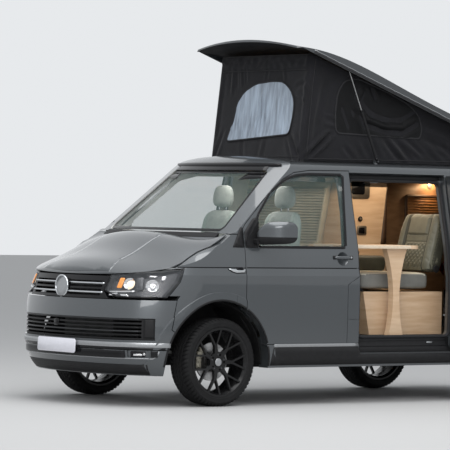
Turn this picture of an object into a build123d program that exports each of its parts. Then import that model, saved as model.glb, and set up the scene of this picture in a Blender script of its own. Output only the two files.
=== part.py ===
from build123d import *
import os
from math import atan2, cos, degrees, hypot, pi, radians, sin, sqrt

# Camper van with a raised pop-up roof and an open sliding side door, in millimetres.
# +Z is up, the nose faces -Y and +X is the van's own left, the side of the open door.
# The origin is on the ground, in the middle of the body's length and width.

# Driving dimensions
WHEELBASE = 3000
FRONT_AXLE_Y = -1526
REAR_AXLE_Y = FRONT_AXLE_Y + WHEELBASE
TRACK = 1628
WHEEL_X = TRACK / 2
TYRE_RADIUS = 348
TYRE_WIDTH = 230
RIM_RADIUS = 274
SHUT_GAP = 6
WALL = 55
FRAME_DEPTH = 105
SKIN = 26
FLOOR_TOP = 540
GROUND_CLEARANCE = 240

# Plan outline of the body by height: height, half width, nose y, tail y
CREASE_LEVEL = (1030, 952, -2358, 2418)
BELT_LEVEL = (1092, 936, -2333, 2411)
LOWER_LEVELS = [
    (GROUND_CLEARANCE, 925, -2326, 2400),
    (400, 943, -2431, 2440),
    (660, 951, -2448, 2442),
    (900, 953, -2411, 2426),
    CREASE_LEVEL,
]
UPPER_LEVELS = [
    BELT_LEVEL,
    (1275, 912, -2260, 2395),
    (1500, 861, -2200, 2360),
    (1900, 775, -2120, 2275),
    (2050, 745, -2080, 2235),
]
BELT_GROOVE = (1088, 1096)
BELT_GROOVE_FRONT_Y = -1951
NOSE_RADIUS = 1800
NOSE_CORNER = 600
TAIL_CORNER = 150

# Bonnet sections by y: y, height on the centre line, height at the full half width
BONNET_SECTIONS = [
    (-2480, 860, 600),
    (-2381, 1000, 765),
    (-2290, 1095, 868),
    (-2176, 1150, 962),
    (-1926, 1250, 1075),
    (-1576, 1345, 1258),
    (-1380, 1380, 1368),
]
BONNET_HALF = 960

# Windscreen cone about a vertical axis, and the roof above it
SCREEN_AXIS_Y = 800
SCREEN_SLOPE = 40.5
SCREEN_TOP = (-921, 1910)
SCREEN_FOOT_Z = 1150
HEADER_TOP_Z = 1995
ROOF_EDGE_RADIUS = 75
ROOF_EDGE_LEAST = 12
ROOF_EDGE_CENTRE = (701.8, 1865.7)
ROOF_EDGE_ANGLES = (7.8, 68)
ROOF_CROWN_Z = 1988

# Side apertures, y and z
WINDOW_SILL_Z = 1262
FRONT_DOOR = [
    (-1302, 490), (-1302, 1400), (-1273, 1434), (-1034, 1649), (-841, 1797),
    (-720, 1852), (-564, 1873), (-147, 1878), (-147, 490),
]
DOOR_WINDOW = [
    (-1166, WINDOW_SILL_Z), (-1140, 1500), (-987, 1684), (-876, 1761), (-787, 1805),
    (-703, 1830), (-569, 1842), (-218, 1846), (-273, WINDOW_SILL_Z),
]
SLIDE_FRONT_Y = -141
SLIDE_REAR_Y = 880
SLIDE_BOTTOM_Z = 410
SLIDE_TOP_Z = 1868
SLIDE_TRAVEL = 1016
SLIDE_OFFSET = 78
MIDDLE_WINDOW_Y = (-30, 800)
QUARTER_WINDOW_Y = (1080, 2130)
SIDE_WINDOW_TOP_Z = 1842
ARCH_CENTRE_Y = -26
ARCH_Z = 350
ARCH_RADIUS = 480
REAR_ARCH_RADIUS = 452

# Pop-up roof: hinge at the tail, raised angle, lid and bellows
HINGE_Y = 2036
HINGE_Z = 1984
RAISED_ANGLE = 19.3
LID_HALF = 700
LID_FRONT_Y = -830
LID_REAR_Y = 2040
LID_SHELL = 20
LID_ROOF_GAP = 10
# Closed lid sections by y: y, height on the centre line, height at the full half width
LID_SECTIONS = [
    (-860, 1988, 1912),
    (-700, 2030, 1965),
    (-450, 2062, 2015),
    (200, 2080, 2036),
    (1200, 2064, 2030),
    (2060, 2034, 2006),
]
TENT_HALF = 605
TENT_FRONT_Y = -520
TENT_REAR_Y = 1900
STRUT_FOOT = (258, 1966)
STRUT_HEAD = (-71, 2728)
STRUT_X = 655

os.makedirs("parts", exist_ok=True)


def write(part, name, label=None):
    """Label a finished piece and write it under its node's name."""
    part.label = label or name
    export_step(part, f"parts/{name}.step")


def plan_face(level, inset):
    """Body plan outline at one height: nose arc, corners, straight sides and tail."""
    z, half, nose, tail = level
    half, nose, tail = half - inset, nose + inset, tail - inset
    radius, corner, rear = NOSE_RADIUS - inset, NOSE_CORNER - inset, max(TAIL_CORNER - inset, 25)
    centre_y = nose + radius
    corner_x = half - corner
    corner_y = centre_y - sqrt((radius - corner) ** 2 - corner_x ** 2)
    blend = atan2(corner_x, centre_y - corner_y)
    middle = (blend + pi / 2) / 2
    touch = (radius * sin(blend), centre_y - radius * cos(blend))
    bend = (corner_x + corner * sin(middle), corner_y - corner * cos(middle))
    slant = rear * (1 - 1 / sqrt(2))
    with BuildSketch(Plane.XY.offset(z)) as face:
        with BuildLine():
            ThreePointArc((-touch[0], touch[1]), (0, nose), touch)
            ThreePointArc(touch, bend, (half, corner_y))
            Line((half, corner_y), (half, tail - rear))
            ThreePointArc((half, tail - rear), (half - slant, tail - slant), (half - rear, tail))
            Line((half - rear, tail), (rear - half, tail))
            ThreePointArc((rear - half, tail), (slant - half, tail - slant), (-half, tail - rear))
            Line((-half, tail - rear), (-half, corner_y))
            ThreePointArc((-half, corner_y), (-bend[0], bend[1]), (-touch[0], touch[1]))
        make_face()
    return face.sketch


def bonnet_face(section, inset):
    """Upright slice of the nose with the bonnet's crown as its top edge."""
    y, centre_z, side_z = section
    plane = Plane(origin=(0, y + inset, 0), x_dir=(1, 0, 0), z_dir=(0, -1, 0))
    with BuildSketch(plane) as face:
        with BuildLine():
            Polyline((BONNET_HALF, side_z - inset), (BONNET_HALF, 100),
                     (-BONNET_HALF, 100), (-BONNET_HALF, side_z - inset))
            ThreePointArc((-BONNET_HALF, side_z - inset), (0, centre_z - inset),
                          (BONNET_HALF, side_z - inset))
        make_face()
    return face.sketch


def envelope(inset):
    """Outer form of the closed body, set in by a distance on every side."""
    with BuildPart() as plan:
        for levels in (LOWER_LEVELS, (CREASE_LEVEL, BELT_LEVEL), UPPER_LEVELS):
            loft(sections=[plan_face(level, inset) for level in levels])
    with BuildPart() as nose:
        loft(sections=[bonnet_face(section, inset) for section in BONNET_SECTIONS])
    slope = radians(SCREEN_SLOPE)
    top_y, top_z = SCREEN_TOP[0] + inset * sin(slope), SCREEN_TOP[1] - inset * cos(slope)
    foot_y = top_y - (top_z - SCREEN_FOOT_Z) / (sin(slope) / cos(slope))
    header = (HEADER_TOP_Z - inset - top_z) / (1 - cos(slope))
    header_y = top_y + header * sin(slope)
    middle = (top_y + header * (sin(slope) - sin(slope / 2)),
              HEADER_TOP_Z - inset - header * (1 - cos(slope / 2)))
    with BuildPart() as cab:
        with BuildSketch(Plane.YZ):
            with BuildLine():
                Polyline((header_y, HEADER_TOP_Z - inset), (SCREEN_AXIS_Y, HEADER_TOP_Z - inset),
                         (SCREEN_AXIS_Y, SCREEN_FOOT_Z), (foot_y, SCREEN_FOOT_Z), (top_y, top_z))
                ThreePointArc((top_y, top_z), middle, (header_y, HEADER_TOP_Z - inset))
            make_face()
        revolve(axis=Axis((0, SCREEN_AXIS_Y, 0), (0, 0, 1)))
    with BuildPart() as lower:
        with BuildSketch(Plane.XY):
            with Locations((0, 600)):
                Rectangle(2200, 4000)
        extrude(amount=SCREEN_FOOT_Z + 1)
    radius = max(ROOF_EDGE_RADIUS - inset, ROOF_EDGE_LEAST)
    sink = inset - ROOF_EDGE_RADIUS + radius
    edge_x, edge_z = ROOF_EDGE_CENTRE[0] - sink, ROOF_EDGE_CENTRE[1] - sink
    inner, outer = [radians(angle) for angle in ROOF_EDGE_ANGLES]
    points = [(edge_x + radius * sin(a), edge_z + radius * cos(a))
              for a in (inner, (inner + outer) / 2, outer)]
    skirt_x = points[2][0] + points[2][1] * cos(outer) / sin(outer)
    crown = Plane(origin=(0, 2600, 0), x_dir=(1, 0, 0), z_dir=(0, -1, 0))
    with BuildPart() as roof:
        with BuildSketch(crown):
            with BuildLine():
                ThreePointArc(*points)
                Polyline(points[2], (skirt_x, 0), (-skirt_x, 0), (-points[2][0], points[2][1]))
                ThreePointArc((-points[2][0], points[2][1]), (-points[1][0], points[1][1]),
                              (-points[0][0], points[0][1]))
                ThreePointArc((-points[0][0], points[0][1]), (0, ROOF_CROWN_Z - inset), points[0])
            make_face()
        extrude(amount=5200)
    with BuildPart() as body:
        add(nose.part)
        add(cab.part)
        add(lower.part)
        add(plan.part, mode=Mode.INTERSECT)
        add(roof.part, mode=Mode.INTERSECT)
    return body.part


def side_prism(points, x_from, x_to, radius=0, grow=0):
    """Block whose outline is drawn in side view, as y and z."""
    with BuildPart() as block:
        with BuildSketch(Plane.YZ.offset(x_from)) as sketch:
            with BuildLine():
                Polyline(*points, close=True)
            make_face()
            if grow:
                offset(amount=grow, kind=Kind.INTERSECTION)
            if radius:
                fillet(sketch.vertices(), radius)
        extrude(amount=x_to - x_from)
    return block.part


def front_prism(points, y_from, y_to, radius=0):
    """Block whose outline is drawn in front view, as x and z."""
    plane = Plane(origin=(0, y_to, 0), x_dir=(1, 0, 0), z_dir=(0, -1, 0))
    with BuildPart() as block:
        with BuildSketch(plane) as sketch:
            with BuildLine():
                Polyline(*points, close=True)
            make_face()
            if radius:
                fillet(sketch.vertices(), radius)
        extrude(amount=y_to - y_from)
    return block.part


def block(x, y, z):
    """Plain block between two limits on each axis."""
    with BuildPart() as part:
        with Locations(((x[0] + x[1]) / 2, (y[0] + y[1]) / 2, (z[0] + z[1]) / 2)):
            Box(x[1] - x[0], y[1] - y[0], z[1] - z[0])
    return part.part


def cross_cylinder(y, z, radius, x_from, x_to):
    """Cylinder along X through a point in side view."""
    with BuildPart() as part:
        with BuildSketch(Plane.YZ.offset(x_from)):
            with Locations((y, z)):
                Circle(radius)
        extrude(amount=x_to - x_from)
    return part.part


def grown(points, distance):
    """Outline points pushed out from their middle, for a shut gap all round."""
    middle_y = (min(p[0] for p in points) + max(p[0] for p in points)) / 2
    middle_z = (min(p[1] for p in points) + max(p[1] for p in points)) / 2
    return [(y + distance * (1 if y > middle_y else -1), z + distance * (1 if z > middle_z else -1))
            for y, z in points]


def mirrored(part):
    """The same piece on the other side of the van."""
    return mirror(part, about=Plane.YZ)


# Body forms at the depths where panels, glass and frames lie
outer = envelope(0)
glass_outer = envelope(8)
glass_inner = envelope(13)
skin_inner = envelope(SKIN)
wall_inner = envelope(WALL)
pocket_floor = envelope(WALL + SHUT_GAP)
frame_inner = envelope(FRAME_DEPTH)

# Wheel arch lips: a shallow raised band round each arch, following the body's own surface
FRONT_ARCH_Y = FRONT_AXLE_Y + ARCH_CENTRE_Y
LIP_RISE = 10
LIP_WIDTH = 74
with BuildPart() as arch_rings:
    for arch_y, arch_radius in ((FRONT_ARCH_Y, ARCH_RADIUS), (REAR_AXLE_Y, REAR_ARCH_RADIUS)):
        for side in (1, -1):
            face = Plane(origin=(side * 780, arch_y, ARCH_Z), x_dir=(0, side, 0),
                         z_dir=(side, 0, 0))
            with BuildSketch(face):
                Circle(arch_radius + LIP_WIDTH + 60)
            extrude(amount=200, taper=20)
arch_lips = (envelope(-LIP_RISE) & arch_rings.part) - block((-700, 700), (-2600, 2600), (0, 1200))
outer = outer + arch_lips

# Groove at the belt, along both sides and across the tail
with BuildPart() as belt_groove:
    add(block((860, 1000), (BELT_GROOVE_FRONT_Y, 2500), BELT_GROOVE))
    add(block((-1000, -860), (BELT_GROOVE_FRONT_Y, 2500), BELT_GROOVE))
    add(block((-880, 880), (2300, 2500), BELT_GROOVE))
    add(glass_outer, mode=Mode.SUBTRACT)
outer = outer - belt_groove.part

full_wall = outer - wall_inner
full_frame = outer - frame_inner
full_skin = outer - skin_inner
glass_layer = glass_outer - glass_inner

FAR = 1200
NEAR = 560
front_arch = cross_cylinder(FRONT_ARCH_Y, ARCH_Z, ARCH_RADIUS, NEAR, FAR)
rear_arch = cross_cylinder(REAR_AXLE_Y, ARCH_Z, REAR_ARCH_RADIUS, NEAR, FAR)

# Front doors: shell pieces with a window cut, thick as the whole door
door_outline = side_prism(FRONT_DOOR, NEAR, FAR)
door_glass_cut = side_prism(DOOR_WINDOW, NEAR, FAR)
lean = Plane(origin=(912, FRONT_DOOR[7][0], 1275), x_dir=(0.9775, 0, 0.2108),
             z_dir=(-0.2108, 0, 0.9775))
with BuildPart() as door_rear_taper:
    with BuildSketch(lean.offset(-240)):
        Polygon((2, 0), (-80, -16), (-80, 40), (2, 40), align=None)
    extrude(amount=900)
# The door's inner face leans with the side glass: x and z in front view
DOOR_INNER = [(896, 240), (896, 1000), (880, 1090), (856, 1275), (804, 1500), (716, 1900),
              (1200, 1900), (1200, 240)]
door_side = front_prism(DOOR_INNER, -1400, 0)
front_door = (full_wall & door_outline & door_side) - front_arch - door_glass_cut
front_door = front_door - door_rear_taper.part
door_pane = glass_layer & side_prism(grown(DOOR_WINDOW, -1), NEAR, FAR)
# Fuel flap lines: middle y, middle z, turn, length
FLAP_LINES = [(-268, 690, 90, 540), (-207, 995, 30, 144), (-208, 680, 0, 122)]
FLAP_LINE_WIDTH = 4
with BuildPart() as flap_lines:
    with BuildSketch(Plane.YZ.offset(NEAR)):
        for y, z, turn, length in FLAP_LINES:
            with Locations(Location((y, z), turn)):
                Rectangle(length, FLAP_LINE_WIDTH)
    extrude(amount=FAR - NEAR)
    add(glass_outer, mode=Mode.SUBTRACT)
# Dished skin behind each door handle: the ball that presses it, and how deep
HANDLE_PLACE = (-312, 1178)
DISH_RADIUS = 92
DISH_DEPTH = 17


def handle_dish(y, z, surface_x):
    """Ball that presses a shallow round dish into a side panel."""
    with BuildPart() as ball:
        with Locations((surface_x + DISH_RADIUS - DISH_DEPTH, y, z)):
            Sphere(DISH_RADIUS)
    return ball.part


front_door = front_door - handle_dish(*HANDLE_PLACE, 926)
left_front_door = front_door - flap_lines.part

# Body sides: roof rail, pillars, sill and rear quarter, with door pockets
side_region = block((NEAR, FAR), (-1437, 2500), (300, 1884))
wing_space = side_prism([(-2600, 200), (-1307, 200), (-1307, 1358), (-2600, 1358)], NEAR, FAR)
door_pocket = side_prism(FRONT_DOOR, NEAR, FAR, grow=SHUT_GAP) - pocket_floor
door_hole = side_prism([(-1190, 545), (-1190, 1440), (-800, 1770), (-600, 1820), (-205, 1825),
                        (-205, 545)], NEAR, FAR)
quarter_glass = [(QUARTER_WINDOW_Y[0], WINDOW_SILL_Z), (QUARTER_WINDOW_Y[0], SIDE_WINDOW_TOP_Z),
                 (QUARTER_WINDOW_Y[1] - 60, SIDE_WINDOW_TOP_Z), (QUARTER_WINDOW_Y[1], WINDOW_SILL_Z)]
middle_glass = [(MIDDLE_WINDOW_Y[0], WINDOW_SILL_Z), (MIDDLE_WINDOW_Y[0], SIDE_WINDOW_TOP_Z),
                (MIDDLE_WINDOW_Y[1], SIDE_WINDOW_TOP_Z), (MIDDLE_WINDOW_Y[1], WINDOW_SILL_Z)]
quarter_cut = side_prism(quarter_glass, NEAR, FAR, radius=45)
middle_cut = side_prism(middle_glass, NEAR, FAR, radius=45)
windscreen_cut = front_prism([(-768, 1368), (768, 1368), (632, 1866), (-632, 1866)], -2100, -640,
                             radius=40)
tailgate_cut = front_prism([(-752, 560), (752, 560), (752, 1500), (690, 1894), (-690, 1894),
                            (-752, 1500)], 2120, 2700)
bumper_space = block((-FAR, FAR), (2000, 2700), (200, 640))
lamp_outline = [(2240, 900), (2240, 1080), (2300, 1520), (2700, 1520), (2700, 900)]
lamp_space = side_prism(lamp_outline, 770, FAR)

side_plain = (full_frame & side_region) - wing_space - door_pocket - door_hole
side_plain = side_plain - front_arch - rear_arch - windscreen_cut - tailgate_cut
side_plain = side_plain - bumper_space - quarter_cut - lamp_space

slide_outline = side_prism([(SLIDE_FRONT_Y, SLIDE_BOTTOM_Z), (SLIDE_FRONT_Y, SLIDE_TOP_Z),
                            (SLIDE_REAR_Y, SLIDE_TOP_Z), (SLIDE_REAR_Y, SLIDE_BOTTOM_Z)],
                           NEAR, FAR)
slide_pocket = slide_outline - pocket_floor
slide_hole = side_prism([(SLIDE_FRONT_Y + 40, 545), (SLIDE_FRONT_Y + 40, 1808),
                         (SLIDE_REAR_Y - 15, 1800), (SLIDE_REAR_Y - 15, 545)],
                        NEAR, FAR, radius=40)
body_side_left = side_plain - slide_pocket - slide_hole
body_side_right = mirrored(side_plain - middle_cut)

# Front of the body: wings, bonnet, lamps, grille and bumper, split on the real shut lines
BONNET_EDGE = [(-2600, 1016), (-2366, 1022), (-2293, 1030), (-2134, 1055), (-1951, 1092),
               (-1711, 1213), (-1533, 1288), (-1436, 1352), (-1436, 1600), (-2600, 1600)]
COWL_RADIUS = 2398
bonnet_space = side_prism(BONNET_EDGE, -FAR, FAR)
with BuildPart() as cowl_column:
    with BuildSketch(Plane.XY):
        with Locations((0, SCREEN_AXIS_Y)):
            Circle(COWL_RADIUS)
    extrude(amount=2000)
with BuildPart() as bonnet_rear_column:
    with BuildSketch(Plane.XY):
        with Locations((0, SCREEN_AXIS_Y)):
            Circle(COWL_RADIUS + SHUT_GAP)
    extrude(amount=2000)
bonnet_flank = block((-856, 856), (-2600, -1300), (900, 1700))
bonnet = (full_skin & bonnet_space & bonnet_flank) - bonnet_rear_column.part

LAMP_FRONT = [(506, 1100), (484, 900), (602, 852), (1000, 852), (1000, 1100)]
LAMP_SIDE = [(-2600, 1010), (-2366, 1016), (-2293, 1024), (-2134, 1049), (-1890, 1078),
             (-1936, 975), (-2040, 852), (-2600, 852)]
lamp_block = front_prism(LAMP_FRONT, -2600, -1700) & side_prism(LAMP_SIDE, 400, FAR)
lamp_hollow = front_prism([(514, 1100), (494, 904), (606, 860), (1000, 860), (1000, 1100)],
                          -2600, -1700)
lamp_hollow = lamp_hollow & side_prism([(-2600, 1004), (-2366, 1009), (-2293, 1017), (-2134, 1041),
                                        (-1904, 1069), (-1945, 978), (-2046, 860), (-2600, 860)],
                                       400, FAR)
headlamp = full_wall & lamp_block
headlamp = headlamp - ((glass_outer - envelope(WALL - 6)) & lamp_hollow)
lamp_pocket = front_prism([(501, 1100), (478, 898), (598, 846), (1000, 846), (1000, 1100)],
                          -2600, -1700)
lamp_pocket = lamp_pocket & side_prism([(-2600, 1016), (-2293, 1030), (-2134, 1055), (-1882, 1086),
                                        (-1930, 974), (-2036, 846), (-2600, 846)], 400, FAR)

WING_INNER_X = 790
WING_FRONT = [(-1936, 868), (-1958, 838), (-2004, 606), (-1890, 520)]
wing_space_own = side_prism([(-1308, 300), (-1308, 1352), (-1428, 1352), (-1533, 1281),
                             (-1711, 1206), (-1951, 1085), (-2130, 1049), (-2130, 868)] +
                            WING_FRONT + [(-1890, 300)], WING_INNER_X, FAR)
wing = (full_skin & wing_space_own) - front_arch - lamp_pocket

BUMPER_TOP_Z = 832
BUMPER_REAR = [(-1965, 832), (-2011, 604), (-1890, 516)]
bumper_block = side_prism([(-2700, 448), (-1890, 448)] + BUMPER_REAR[::-1] + [(-2700, 832)],
                          -FAR, FAR)
front_shell = outer - wall_inner
INTAKE = (855, 520, 690)
intake_cut = block((-INTAKE[0], INTAKE[0]), (-2700, -1990), INTAKE[1:])
front_bumper = (front_shell & bumper_block) - front_arch - mirrored(front_arch) - intake_cut

GRILLE_OUTLINE = [(-492, 1012), (492, 1012), (474, 900), (528, 838), (-528, 838), (-474, 900)]
grille_body = front_shell & front_prism(GRILLE_OUTLINE, -2700, -2100)
with BuildPart() as grille_slots:
    with Locations(*[(0, -2400, z) for z in (868, 900, 932, 964)]):
        Box(900, 600, 18)
grille = grille_body - grille_slots.part

intake_body = front_shell & block((-INTAKE[0] + 3, INTAKE[0] - 3), (-2700, -1996),
                                  (INTAKE[1] + 3, INTAKE[2] - 3))
intake_setback = envelope(14)
with BuildPart() as intake_slots:
    with Locations(*[(0, -2300, z) for z in (545, 575, 605, 635, 665)]):
        Box(1560, 700, 16)
intake_grille = (intake_body & intake_setback) - intake_slots.part
valance_block = side_prism([(-2700, 242), (-1890, 242), (-1890, 442), (-2700, 442)], -FAR, FAR)
front_valance = (front_shell & valance_block) - front_arch - mirrored(front_arch)
fog_recess = front_prism([(690, 386), (828, 386), (822, 442), (696, 442)], -2600, -1900, radius=14)
fog_recess = fog_recess - envelope(14)
front_valance = front_valance - fog_recess - mirrored(fog_recess)

cowl_space = block((-752, 752), (-1700, -1440), (1240, 1364))
cowl = (full_skin & cowl_column.part & cowl_space) - windscreen_cut

# Glass
windscreen = glass_layer & cowl_column.part
windscreen = windscreen & front_prism([(-764, 1372), (764, 1372), (628, 1862), (-628, 1862)],
                                      -2100, -640, radius=38)
quarter_pane = glass_layer & side_prism(grown(quarter_glass, -3), NEAR, FAR, radius=43)
middle_pane = glass_layer & side_prism(grown(middle_glass, -3), NEAR, FAR, radius=43)
side_windows = Compound(children=[quarter_pane, mirrored(quarter_pane), mirrored(middle_pane)])

# Sliding door, run back along the body side on its arms
slide_door_outline = side_prism([(SLIDE_FRONT_Y + SHUT_GAP, SLIDE_BOTTOM_Z + SHUT_GAP),
                                 (SLIDE_FRONT_Y + SHUT_GAP, SLIDE_TOP_Z - SHUT_GAP),
                                 (SLIDE_REAR_Y - SHUT_GAP, SLIDE_TOP_Z - SHUT_GAP),
                                 (SLIDE_REAR_Y - SHUT_GAP, SLIDE_BOTTOM_Z + SHUT_GAP)],
                                NEAR, FAR)
slide_shift = Location((SLIDE_OFFSET, SLIDE_TRAVEL, 0))
door_shut = (full_wall & slide_door_outline) - middle_cut - handle_dish(-52, 1178, 926)
door_open = door_shut.moved(slide_shift)
ARM_REACH = (700, 1030)
with BuildPart() as door_arms:
    for y, z in ((918, 470), (1820, 1092)):
        with Locations(((ARM_REACH[0] + ARM_REACH[1]) / 2, y, z)):
            Box(ARM_REACH[1] - ARM_REACH[0], 60, 30)
door_form = outer.moved(Location((SLIDE_OFFSET, 0, 0)))
sliding_door = door_open + ((door_arms.part & door_form) - envelope(-0.5))
sliding_pane = middle_pane.moved(slide_shift)

# Roof ring around the pop-up opening, tailgate, rear bumper and tail lamps
roof_space = block((-FAR, FAR), (-1300, 2500), (1884, 2100))
ROOF_OPENING = (575, -475, 1860)
roof_opening = block((-ROOF_OPENING[0], ROOF_OPENING[0]), ROOF_OPENING[1:], (1800, 2200))
tail_edge = front_prism([(-700, 1600), (700, 1600), (700, 1900), (-700, 1900)], 2120, 2700)
roof_panel = (full_wall & roof_space) - roof_opening - windscreen_cut - tail_edge

tail_space = front_prism([(-746, 646), (746, 646), (746, 1500), (684, 1888), (-684, 1888),
                          (-746, 1500)], 2140, 2700)
tail_window = [(-640, 1290), (640, 1290), (600, 1790), (-600, 1790)]
tailgate = (full_wall & tail_space) - front_prism(tail_window, 2100, 2700, radius=50)
plate_recess = front_prism([(-272, 930), (272, 930), (272, 1062), (-272, 1062)], 2140, 2700,
                           radius=18)
tailgate = tailgate - (plate_recess - envelope(12))
tail_pane = glass_layer & front_prism([(-637, 1293), (637, 1293), (597, 1787), (-597, 1787)],
                                      2140, 2700, radius=47)
rear_bumper = (full_wall & block((-FAR, FAR), (2006, 2700), (300, 634))) - rear_arch
rear_bumper = rear_bumper - mirrored(rear_arch)
tail_lamp = full_wall & side_prism([(2246, 906), (2246, 1080), (2306, 1514), (2700, 1514),
                                    (2700, 906)], 776, FAR)

# Pop-up roof lid: a thin crowned shell, drawn closed and then raised about its tail hinge


def lid_face(section, inset):
    """Upright slice of the closed lid with its crown as the top edge."""
    y, centre_z, side_z = section
    plane = Plane(origin=(0, y, 0), x_dir=(1, 0, 0), z_dir=(0, -1, 0))
    with BuildSketch(plane) as face:
        with BuildLine():
            Polyline((LID_HALF, side_z - inset), (LID_HALF, 1700),
                     (-LID_HALF, 1700), (-LID_HALF, side_z - inset))
            ThreePointArc((-LID_HALF, side_z - inset), (0, centre_z - inset),
                          (LID_HALF, side_z - inset))
        make_face()
    return face.sketch


def lid_plan(inset):
    """Closed lid outline seen from above: bowed nose edge and rounded corners."""
    half, front, rear = LID_HALF - inset, LID_FRONT_Y + inset, LID_REAR_Y - inset
    bow = 62
    with BuildPart() as block_part:
        with BuildSketch(Plane.XY.offset(1650)) as sketch:
            with BuildLine():
                ThreePointArc((-half, front + bow), (0, front), (half, front + bow))
                Polyline((half, front + bow), (half, rear), (-half, rear), (-half, front + bow))
            make_face()
            fillet(sketch.vertices(), 70)
        extrude(amount=600)
    return block_part.part


raised = Location((0, HINGE_Y, HINGE_Z)) * Location((0, 0, 0), (-RAISED_ANGLE, 0, 0))
raised = raised * Location((0, -HINGE_Y, -HINGE_Z))
with BuildPart() as lid_form:
    loft(sections=[lid_face(section, 0) for section in LID_SECTIONS])
with BuildPart() as lid_hollow:
    loft(sections=[lid_face(section, LID_SHELL) for section in LID_SECTIONS])
roof_under = envelope(-LID_ROOF_GAP)
lid_closed = (lid_form.part & lid_plan(0)) - roof_under
lid_closed = lid_closed - (lid_hollow.part & lid_plan(LID_SHELL))

# Roof hinges: two knuckles on the roof and one on the lid share each pin line
ROOF_HINGE_X = 430
KNUCKLE_RADIUS = 9
LID_KNUCKLE = 19
ROOF_KNUCKLE = (22, 40)
STRUT_PLATE_X = (627, 634)


def hinge_round(radius, start, end):
    """Round along the roof hinge's axis, between two distances from a hinge's middle."""
    plane = Plane(origin=(ROOF_HINGE_X + start, HINGE_Y, HINGE_Z), x_dir=(0, 1, 0), z_dir=(1, 0, 0))
    with BuildPart() as bar:
        with BuildSketch(plane):
            Circle(radius)
        extrude(amount=end - start)
    return bar.part


roof_knuckle = hinge_round(KNUCKLE_RADIUS, *ROOF_KNUCKLE)
roof_knuckle = roof_knuckle + hinge_round(KNUCKLE_RADIUS, -ROOF_KNUCKLE[1], -ROOF_KNUCKLE[0])
for start, end in (ROOF_KNUCKLE, (-ROOF_KNUCKLE[1], -ROOF_KNUCKLE[0])):
    foot_x = (ROOF_HINGE_X + start, ROOF_HINGE_X + end)
    roof_knuckle = roof_knuckle + block(foot_x, (HINGE_Y - 9, HINGE_Y + 9), (1955, HINGE_Z))
roof_knuckle = roof_knuckle - hinge_round(3, -60, 60)
lid_clearance = hinge_round(KNUCKLE_RADIUS + 6, -ROOF_KNUCKLE[1] - 3, ROOF_KNUCKLE[1] + 3)
lid_clearance = lid_clearance + block((ROOF_HINGE_X - 43, ROOF_HINGE_X + 43),
                                      (HINGE_Y - 15, HINGE_Y + 15), (1950, HINGE_Z))
lid_web = block((ROOF_HINGE_X - LID_KNUCKLE, ROOF_HINGE_X + LID_KNUCKLE),
                (HINGE_Y - 15, HINGE_Y + 4), (HINGE_Z, HINGE_Z + 24))
lid_knuckle = lid_web + hinge_round(KNUCKLE_RADIUS, -LID_KNUCKLE, LID_KNUCKLE)
lid_knuckle = lid_knuckle - hinge_round(3, -60, 60)
lid_closed = lid_closed - lid_clearance - mirrored(lid_clearance)
lid_closed = lid_closed + lid_knuckle + mirrored(lid_knuckle)

# Strut plates: one under the lid and one on the roof, each beside its end of the strut


def shut_point(y, z):
    """Where a point of the raised lid lies when the lid is shut, as y and z."""
    angle = radians(RAISED_ANGLE)
    dy, dz = y - HINGE_Y, z - HINGE_Z
    return (HINGE_Y + dy * cos(angle) - dz * sin(angle),
            HINGE_Z + dy * sin(angle) + dz * cos(angle))


head_y, head_z = shut_point(*STRUT_HEAD)
lid_plate = side_prism([(head_y - 14, head_z - 9), (head_y + 14, head_z - 9),
                        (head_y + 24, head_z + 42), (head_y - 24, head_z + 42)],
                       STRUT_PLATE_X[0], STRUT_PLATE_X[1])
lid_plate = lid_plate + cross_cylinder(head_y, head_z, 4, STRUT_PLATE_X[1], STRUT_PLATE_X[1] + 6)
lid_closed = lid_closed + lid_plate + mirrored(lid_plate)
roof_lid = lid_closed.moved(raised)
foot_y, foot_z = STRUT_FOOT
roof_plate = side_prism([(foot_y - 26, foot_z - 41), (foot_y + 26, foot_z - 41),
                         (foot_y + 13, foot_z + 10), (foot_y - 13, foot_z + 10)],
                        STRUT_PLATE_X[0], STRUT_PLATE_X[1])
STRUT_PIN_RADIUS = 5
roof_pin = cross_cylinder(foot_y, foot_z, STRUT_PIN_RADIUS, STRUT_PLATE_X[1], STRUT_X + 15)
roof_fittings = roof_plate + roof_pin + roof_knuckle
roof_panel = roof_panel + roof_fittings + mirrored(roof_fittings)

# Fabric bellows between roof and raised lid, a thin-walled wedge open above and below
TENT_WALL = 12
TENT_TOP_CLOSED_Z = (1974, 1990)


def raised_point(y, z):
    """Where a point of the closed lid stands when the lid is up, as y and z."""
    angle = radians(RAISED_ANGLE)
    dy, dz = y - HINGE_Y, z - HINGE_Z
    return (HINGE_Y + dy * cos(angle) + dz * sin(angle),
            HINGE_Z - dy * sin(angle) + dz * cos(angle))


tent_top_front = raised_point(-560, TENT_TOP_CLOSED_Z[0])
tent_top_rear = raised_point(TENT_REAR_Y, TENT_TOP_CLOSED_Z[1])
tent_side = [(TENT_FRONT_Y, 1900), (TENT_REAR_Y, 1900), tent_top_rear, tent_top_front]
tent_inside = [(TENT_FRONT_Y + TENT_WALL, 1850), (TENT_REAR_Y - TENT_WALL, 1850),
               (TENT_REAR_Y - TENT_WALL, tent_top_rear[1] + 60),
               (tent_top_front[0] + TENT_WALL, tent_top_front[1] + 90)]
tent_floor = envelope(-1)
tent_fabric = side_prism(tent_side, -TENT_HALF, TENT_HALF)
tent_fabric = tent_fabric - side_prism(tent_inside, TENT_WALL - TENT_HALF, TENT_HALF - TENT_WALL)
tent_fabric = tent_fabric - tent_floor

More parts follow.
